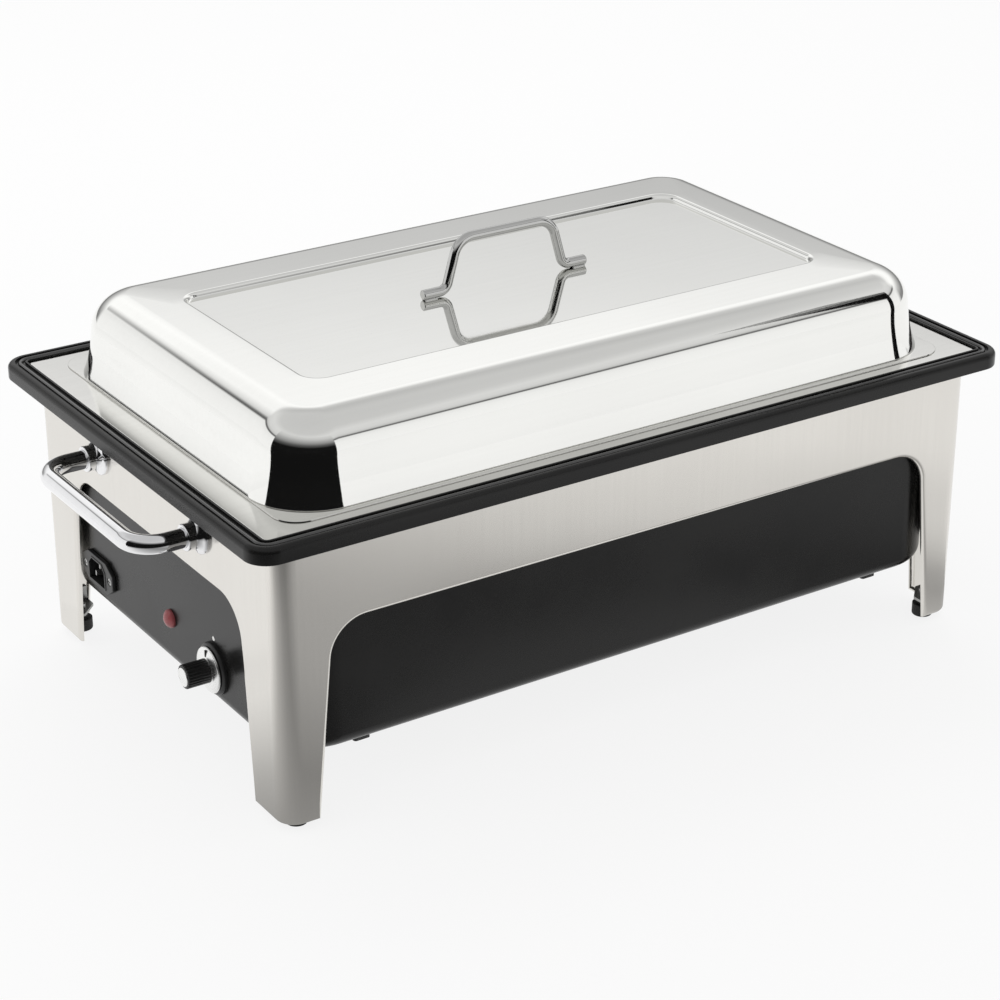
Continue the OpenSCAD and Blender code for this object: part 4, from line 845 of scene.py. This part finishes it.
def makeInlet():
    s = inlet
    seat, top = onWall(s["y"], s["z"]), s["flangeT"]
    r, dish, ears = s["headD"] / 2, s["dish"] / 2, (-s["pitch"] / 2, s["pitch"] / 2)
    w, h, ear, body = s["flangeW"] / 2, s["flangeH"] / 2, s["earH"], s["bodyW"] / 2
    outline = [(body, -h), (w, -ear), (w, ear), (body, h), (-body, h), (-w, ear), (-w, -ear), (-body, -h)]
    bm = bmesh.new()
    prism(bm, outline, s["seatGap"], top, s["edge"])
    # raised lip round the socket
    prism(bm, socketOutline(s["lipW"]), top - s["lipIn"], top + s["lipH"], s["lipEdge"])
    prism(bm, boxOutline(s["bodyW"], s["bodyH"]), -s["bodyD"], s["bodyIn"])
    placeNew(bm, 0, seat)
    piece = newPiece("inletBody", bm, blackPlastic, "base", ["power_inlet"], sharp=25)
    cut = bmesh.new()
    prism(cut, socketOutline(0), top - s["socketD"], top + s["socketOver"])
    holeR = r + s["headFit"]
    section = [(holeR, s["headSeat"]), (holeR, s["dishLow"]), (dish, top + s["dishTop"]),
               (dish, top + s["dishOver"])]
    for x in ears:
        since = len(cut.verts)
        lathe(cut, section, s["holeSteps"])
        placeNew(cut, since, shifted(x))
    placeNew(cut, 0, seat)
    carveOut(piece, cut, joined=True)

    bm = bmesh.new()
    for x, y in s["pins"]:
        prism(bm, boxOutline(s["pinW"], s["pinH"], x, y), -s["pinIn"], s["pinOut"], s["pinEdge"])
    placeNew(bm, 0, seat)
    newPiece("inletBlades", bm, zincSteel, "base", ["inlet_pins"], sharp=25)

    bm, cut = bmesh.new(), bmesh.new()
    dome = [(r * share, high) for share, high in s["headDome"]]
    section = [(s["shankR"], -s["shankL"]), (s["shankR"], dome[0][1])] + dome + [s["headTop"]]
    for x in ears:
        since, cutSince = len(bm.verts), len(cut.verts)
        lathe(bm, section, s["headSteps"])
        for w, h in ((s["slotL"], s["slotW"]), (s["slotW"], s["slotL"])):  # cross recess
            prism(cut, boxOutline(w, h), top - s["slotD"], top + s["slotOver"])
        placeNew(bm, since, shifted(x))
        placeNew(cut, cutSince, shifted(x))
    placeNew(bm, 0, seat)
    placeNew(cut, 0, seat)
    piece = newPiece("inletScrewHeads", bm, zincSteel, "base", ["inlet_screws"], sharp=30)
    carveOut(piece, cut, joined=True)


makeInlet()
print("controls made")


# stage: pale floor, soft light, and what polished metal mirrors

view = {"from": (-939.46, -1424.08, 885.19), "to": (-4.01, 0.0, 98.38), "lens": 94.13, "sensor": 36.0,
        "clip": (0.05, 100)}
stage = {"floorR": 14.0, "floorLow": -0.0002, "rimSteps": 96, "wallH": 9.0, "floorTint": 0.9,
         "floorRough": 0.9, "whiteShare": 0.85, "sheetAt": 0.0004, "cardR": 0.92, "cardFrom": 177,
         "cardTo": 273, "cardSteps": 32, "matIn": 0.3, "matOut": 0.62, "matSteps": 48, "matRings": 10,
         "frontFrom": 258, "frontRun": 12, "edgeTone": 0.97, "edgeFrom": 0.75, "dimOut": 0.88,
         "dimLast": 268, "dimFall": 0.8, "paleFrom": 92, "paleTo": 172, "paleR": (0.36, 1.3),
         "sideFoot": ((0.855, -0.797), (0.967, -0.666)),
         "sideRise": ((0.94, 0.006), (1.04, 0.15), (1.15, 0.35)), "backWay": (0.643, 0.766, 0.0),
         "backFrom": 0.42, "backTo": 0.58, "sky": 1.0}
# place, size and power of the soft lights, and where they point
softboxes = {"keyBox": ((0.4, 1.4, 2.0), (2.2, 1.4), 18), "leftBox": ((-2.2, 0.3, 1.3), (1.4, 1.4), 7)}
lightAim = (0, 0, 0.1)
# brightness of the room against the height of the direction (0 is level, 1 is straight up)
frontRoom = ((0.0, 0.97), (0.3, 0.93), (0.42, 0.86), (0.45, 0.1), (0.475, 0.18), (0.508, 0.6), (0.57, 0.7),
             (0.68, 0.74), (0.8, 0.62), (1.0, 0.6))
backRoom = ((0.0, 0.25), (0.1, 0.26), (0.17, 0.42), (0.25, 0.54), (0.34, 0.78), (0.41, 1.0), (0.5, 1.08),
            (0.58, 1.0), (0.67, 0.66), (0.76, 0.55), (1.0, 0.6))
# brightness of the dark card where the camera stands against its height: a painted dark reflection, paler
# higher up, that only metal shows
darkReflectionTone = ((0.0004, 0.006), (0.44, 0.006), (0.53, 0.1), (0.62, 0.3), (0.8, 0.58), (0.95, 0.7))
# brightness of the shaded floor in front of the dish against the bearing in degrees: painted shade on ground
# that only metal mirrors
paintedGroundShade = ((180, 0.95), (188, 0.78), (198, 0.54), (214, 0.34), (226, 0.28), (238, 0.36), (246, 0.43),
           (258, 0.46), (272, 0.64), (280, 0.76), (298, 0.86), (316, 0.78), (336, 0.9))
# and what it is multiplied by from the dish outwards, darker close under the front: the dish's painted shadow
paintedNearShadow = ((0.0, 0.9), (0.1, 0.6), (0.25, 0.45), (0.45, 0.9), (0.6, 1.0), (1.0, 1.0))


def aimed(name, data, place, aim):
    made = newObject(name, data)
    made.location = place
    made.rotation_mode = "QUATERNION"
    made.rotation_quaternion = (Vector(aim) - Vector(place)).to_track_quat("-Z", "Y")
    return made


def makeCamera():
    data = bpy.data.cameras.new("camera")
    data.lens, data.sensor_width, data.sensor_fit = view["lens"], view["sensor"], "HORIZONTAL"
    data.clip_start, data.clip_end = view["clip"]
    place, aim = (Vector(view[end]) * shaping["metre"] for end in ("from", "to"))
    scene.camera = aimed("camera", data, place, aim)


def plainMaterial(name, tone, roughness, glow=0.0):
    return newMaterial(name, {
        "Base Color": (tone, tone, tone, 1), "Roughness": roughness, "Specular IOR Level": 0.0,
        "Emission Color": (1, 1, 1, 1), "Emission Strength": glow})


def floorMaterial():
    # most of what the eye and the metal see of the floor is plain white, the rest is lit and shaded
    material = plainMaterial("paleFloor", stage["floorTint"], stage["floorRough"])
    tree = material.node_tree
    path = addNode(tree, "ShaderNodeLightPath")
    seen = addNode(tree, "ShaderNodeMath", operation="ADD")
    seenToo = addNode(tree, "ShaderNodeMath", operation="ADD", use_clamp=True)
    share = addNode(tree, "ShaderNodeMath", {1: stage["whiteShare"]}, operation="MULTIPLY")
    glow = addNode(tree, "ShaderNodeEmission", {"Color": (1, 1, 1, 1)})
    blend = addNode(tree, "ShaderNodeMixShader")
    linkAll(tree, (path, "Is Camera Ray", seen, 0), (path, "Is Glossy Ray", seen, 1), (seen, 0, seenToo, 0),
            (path, "Is Transmission Ray", seenToo, 1), (seenToo, 0, share, 0), (share, 0, blend, "Fac"),
            (tree.nodes["Principled BSDF"], 0, blend, 1), (glow, 0, blend, 2),
            (blend, 0, tree.nodes["Material Output"], "Surface"))
    return material


def shadeMaterial():
    # glows with the brightness stored on a sheet's points: painted shade and painted reflection for polished
    # metal to show
    material = plainMaterial("paintedShadeGlow", 0, 1.0, glow=1.0)
    tree = material.node_tree
    tone = addNode(tree, "ShaderNodeAttribute", attribute_name="tone")
    linkAll(tree, (tone, "Color", tree.nodes["Principled BSDF"], "Emission Color"))
    return material


def between(stops, at):
    for (a, low), (b, high) in zip(stops, stops[1:]):
        if at <= b:
            return low + (high - low) * max(0.0, at - a) / (b - a)
    return stops[-1][1]


def stageSheet(name, bm, material):
    mesh = bpy.data.meshes.new(name)
    bm.to_mesh(mesh)
    bm.free()
    mesh.materials.append(material)
    sheet = newObject(name, mesh)
    return sheet


def softbox(name, place, size, energy):
    data = bpy.data.lights.new(name, "AREA")
    data.shape, data.size, data.size_y, data.energy = "RECTANGLE", *size, energy
    aimed(name, data, place, lightAim).visible_glossy = False


def onlyMirrored(sheet):
    # a card that shows in polished metal and nowhere else
    sheet.visible_camera = sheet.visible_diffuse = sheet.visible_shadow = sheet.visible_transmission = False


def tonedSheet(name, places, tones, material):
    # a sheet through rows of points, its brightness stored on the points, that only polished metal shows
    bm = bmesh.new()
    rows = [[bm.verts.new(p) for p in row] for row in places]
    for a, b in zip(rows, rows[1:]):
        for k in range(len(a) - 1):
            bm.faces.new((a[k], a[k + 1], b[k + 1], b[k]))
    sheet = stageSheet(name, bm, material)
    shade = sheet.data.color_attributes.new("tone", "FLOAT_COLOR", "POINT")
    for point, tone in zip(shade.data, tones):
        point.color = (tone, tone, tone, 1)
    onlyMirrored(sheet)


def groundPatch(name, bearings, radii, toneAt, material):
    # part of a flat ring on the floor
    s = stage
    ways = shares(s["matRings"])
    rows, tones = [], []
    for i in range(s["matSteps"] + 1):
        a = bearings[0] + (bearings[1] - bearings[0]) * i / s["matSteps"]
        rows.append([(*polar(radii[0] + (radii[1] - radii[0]) * way, a), s["sheetAt"]) for way in ways])
        tones += [toneAt(a, way) for way in ways]
    tonedSheet(name, rows, tones, material)


def makeStage():
    s = stage
    bm = bmesh.new()
    bmesh.ops.create_circle(bm, cap_ends=True, radius=s["floorR"], segments=s["rimSteps"])
    floor = stageSheet("floor", bm, floorMaterial())
    floor.location.z = s["floorLow"]

    # white wall round the floor's edge, seen by the eye alone
    bm = bmesh.new()
    edge = [polar(s["floorR"], 360 * i / s["rimSteps"]) for i in range(s["rimSteps"])]
    joinRows(bm, [[bm.verts.new((*p, z)) for p in edge] for z in (s["floorLow"], s["wallH"])])
    wall = stageSheet("backWall", bm, plainMaterial("wallWhite", 0, 1.0, glow=1.0))
    wall.visible_glossy = wall.visible_diffuse = wall.visible_shadow = wall.visible_transmission = False

    # curved dark card where the camera stands, paler towards its top, with a strip of ground before it: a
    # painted dark reflection that only polished metal shows
    shade = shadeMaterial()
    rows, tones = [], []
    for i in range(s["cardSteps"] + 1):
        a = s["cardFrom"] + (s["cardTo"] - s["cardFrom"]) * i / s["cardSteps"]
        rows.append([(*polar(s["dimOut"], a), s["sheetAt"])])
        rows[-1] += [(*polar(s["cardR"], a), z) for z, tone in darkReflectionTone]
        tones += [darkReflectionTone[0][1]] + [tone for z, tone in darkReflectionTone]
    tonedSheet("paintedDarkReflectionCard", rows, tones, shade)

    # painted shade and shadow on ground for legs and band to mirror, dim painted shade between it and the
    # card, pale ground at the back
    # painted shade by bearing; towards the front also the dish's painted shadow close in, fading to the
    # floor's brightness far out
    def frontTone(a, way):
        front = min(1.0, max(0.0, (a - s["frontFrom"]) / s["frontRun"]))
        tone = between(paintedGroundShade, a) * (1 + (between(paintedNearShadow, way) - 1) * front)
        return tone + (s["edgeTone"] - tone) * max(0.0, way - s["edgeFrom"]) / (1 - s["edgeFrom"]) * front

    # painted shade, darker out towards the card
    def dimTone(a, way):
        return between(paintedGroundShade, a) * (1 - s["dimFall"] * way)

    first, last = paintedGroundShade[0][0], paintedGroundShade[-1][0]
    groundPatch("paintedShadowGround", (first, last), (s["matIn"], s["matOut"]), frontTone, shade)
    groundPatch("paintedDimGround", (first, s["dimLast"]), (s["matOut"], s["dimOut"]), dimTone, shade)
    groundPatch("paleGround", (s["paleFrom"], s["paleTo"]), s["paleR"], lambda a, way: 1.0, shade)

    # dark upright card by the far front corner, in greys paler upwards: a painted dark reflection that only
    # polished metal shows
    low = 0.0
    left, right = s["sideFoot"]
    for n, (high, tone) in enumerate(s["sideRise"]):
        bm = bmesh.new()
        corners = [(*left, low), (*right, low), (*right, high), (*left, high)]
        bm.faces.new([bm.verts.new(c) for c in corners])
        onlyMirrored(stageSheet("sideReflectionCard-%d" % n, bm, plainMaterial("sideReflectionTone-%d" % n, tone, 1.0)))
        low = high

    for name, settings in softboxes.items():
        softbox(name, *settings)


def roomRamp(tree, stops):
    ramp = addNode(tree, "ShaderNodeValToRGB")
    while len(ramp.color_ramp.elements) < len(stops):
        ramp.color_ramp.elements.new(0.5)
    for element, (at, level) in zip(ramp.color_ramp.elements, stops):
        element.position, element.color = at, (level, level, level, 1)
    return ramp


def makeRoom():
    s = stage
    world = bpy.data.worlds.new("studio")
    scene.world = world
    world.use_nodes = True
    tree = world.node_tree
    place = addNode(tree, "ShaderNodeTexCoord")
    split = addNode(tree, "ShaderNodeSeparateXYZ")
    toBack = addNode(tree, "ShaderNodeVectorMath", {1: s["backWay"]}, operation="DOT_PRODUCT")
    limits = {"From Min": s["backFrom"], "From Max": s["backTo"]}
    share = addNode(tree, "ShaderNodeMapRange", limits, clamp=True)
    front, back = roomRamp(tree, frontRoom), roomRamp(tree, backRoom)
    mix = addNode(tree, "ShaderNodeMix", data_type="RGBA")
    linkAll(tree, (place, "Generated", split, 0), (place, "Generated", toBack, 0), (split, "Z", front, 0),
            (split, "Z", back, 0), (toBack, "Value", share, "Value"), (share, 0, mix, "Factor"),
            (front, 0, mix, "A"), (back, 0, mix, "B"), (mix, "Result", tree.nodes["Background"], "Color"))
    tree.nodes["Background"].inputs["Strength"].default_value = s["sky"]


makeCamera()
makeStage()
makeRoom()
scene.view_settings.view_transform = "Standard"
print("stage set")

bpy.context.view_layer.update()
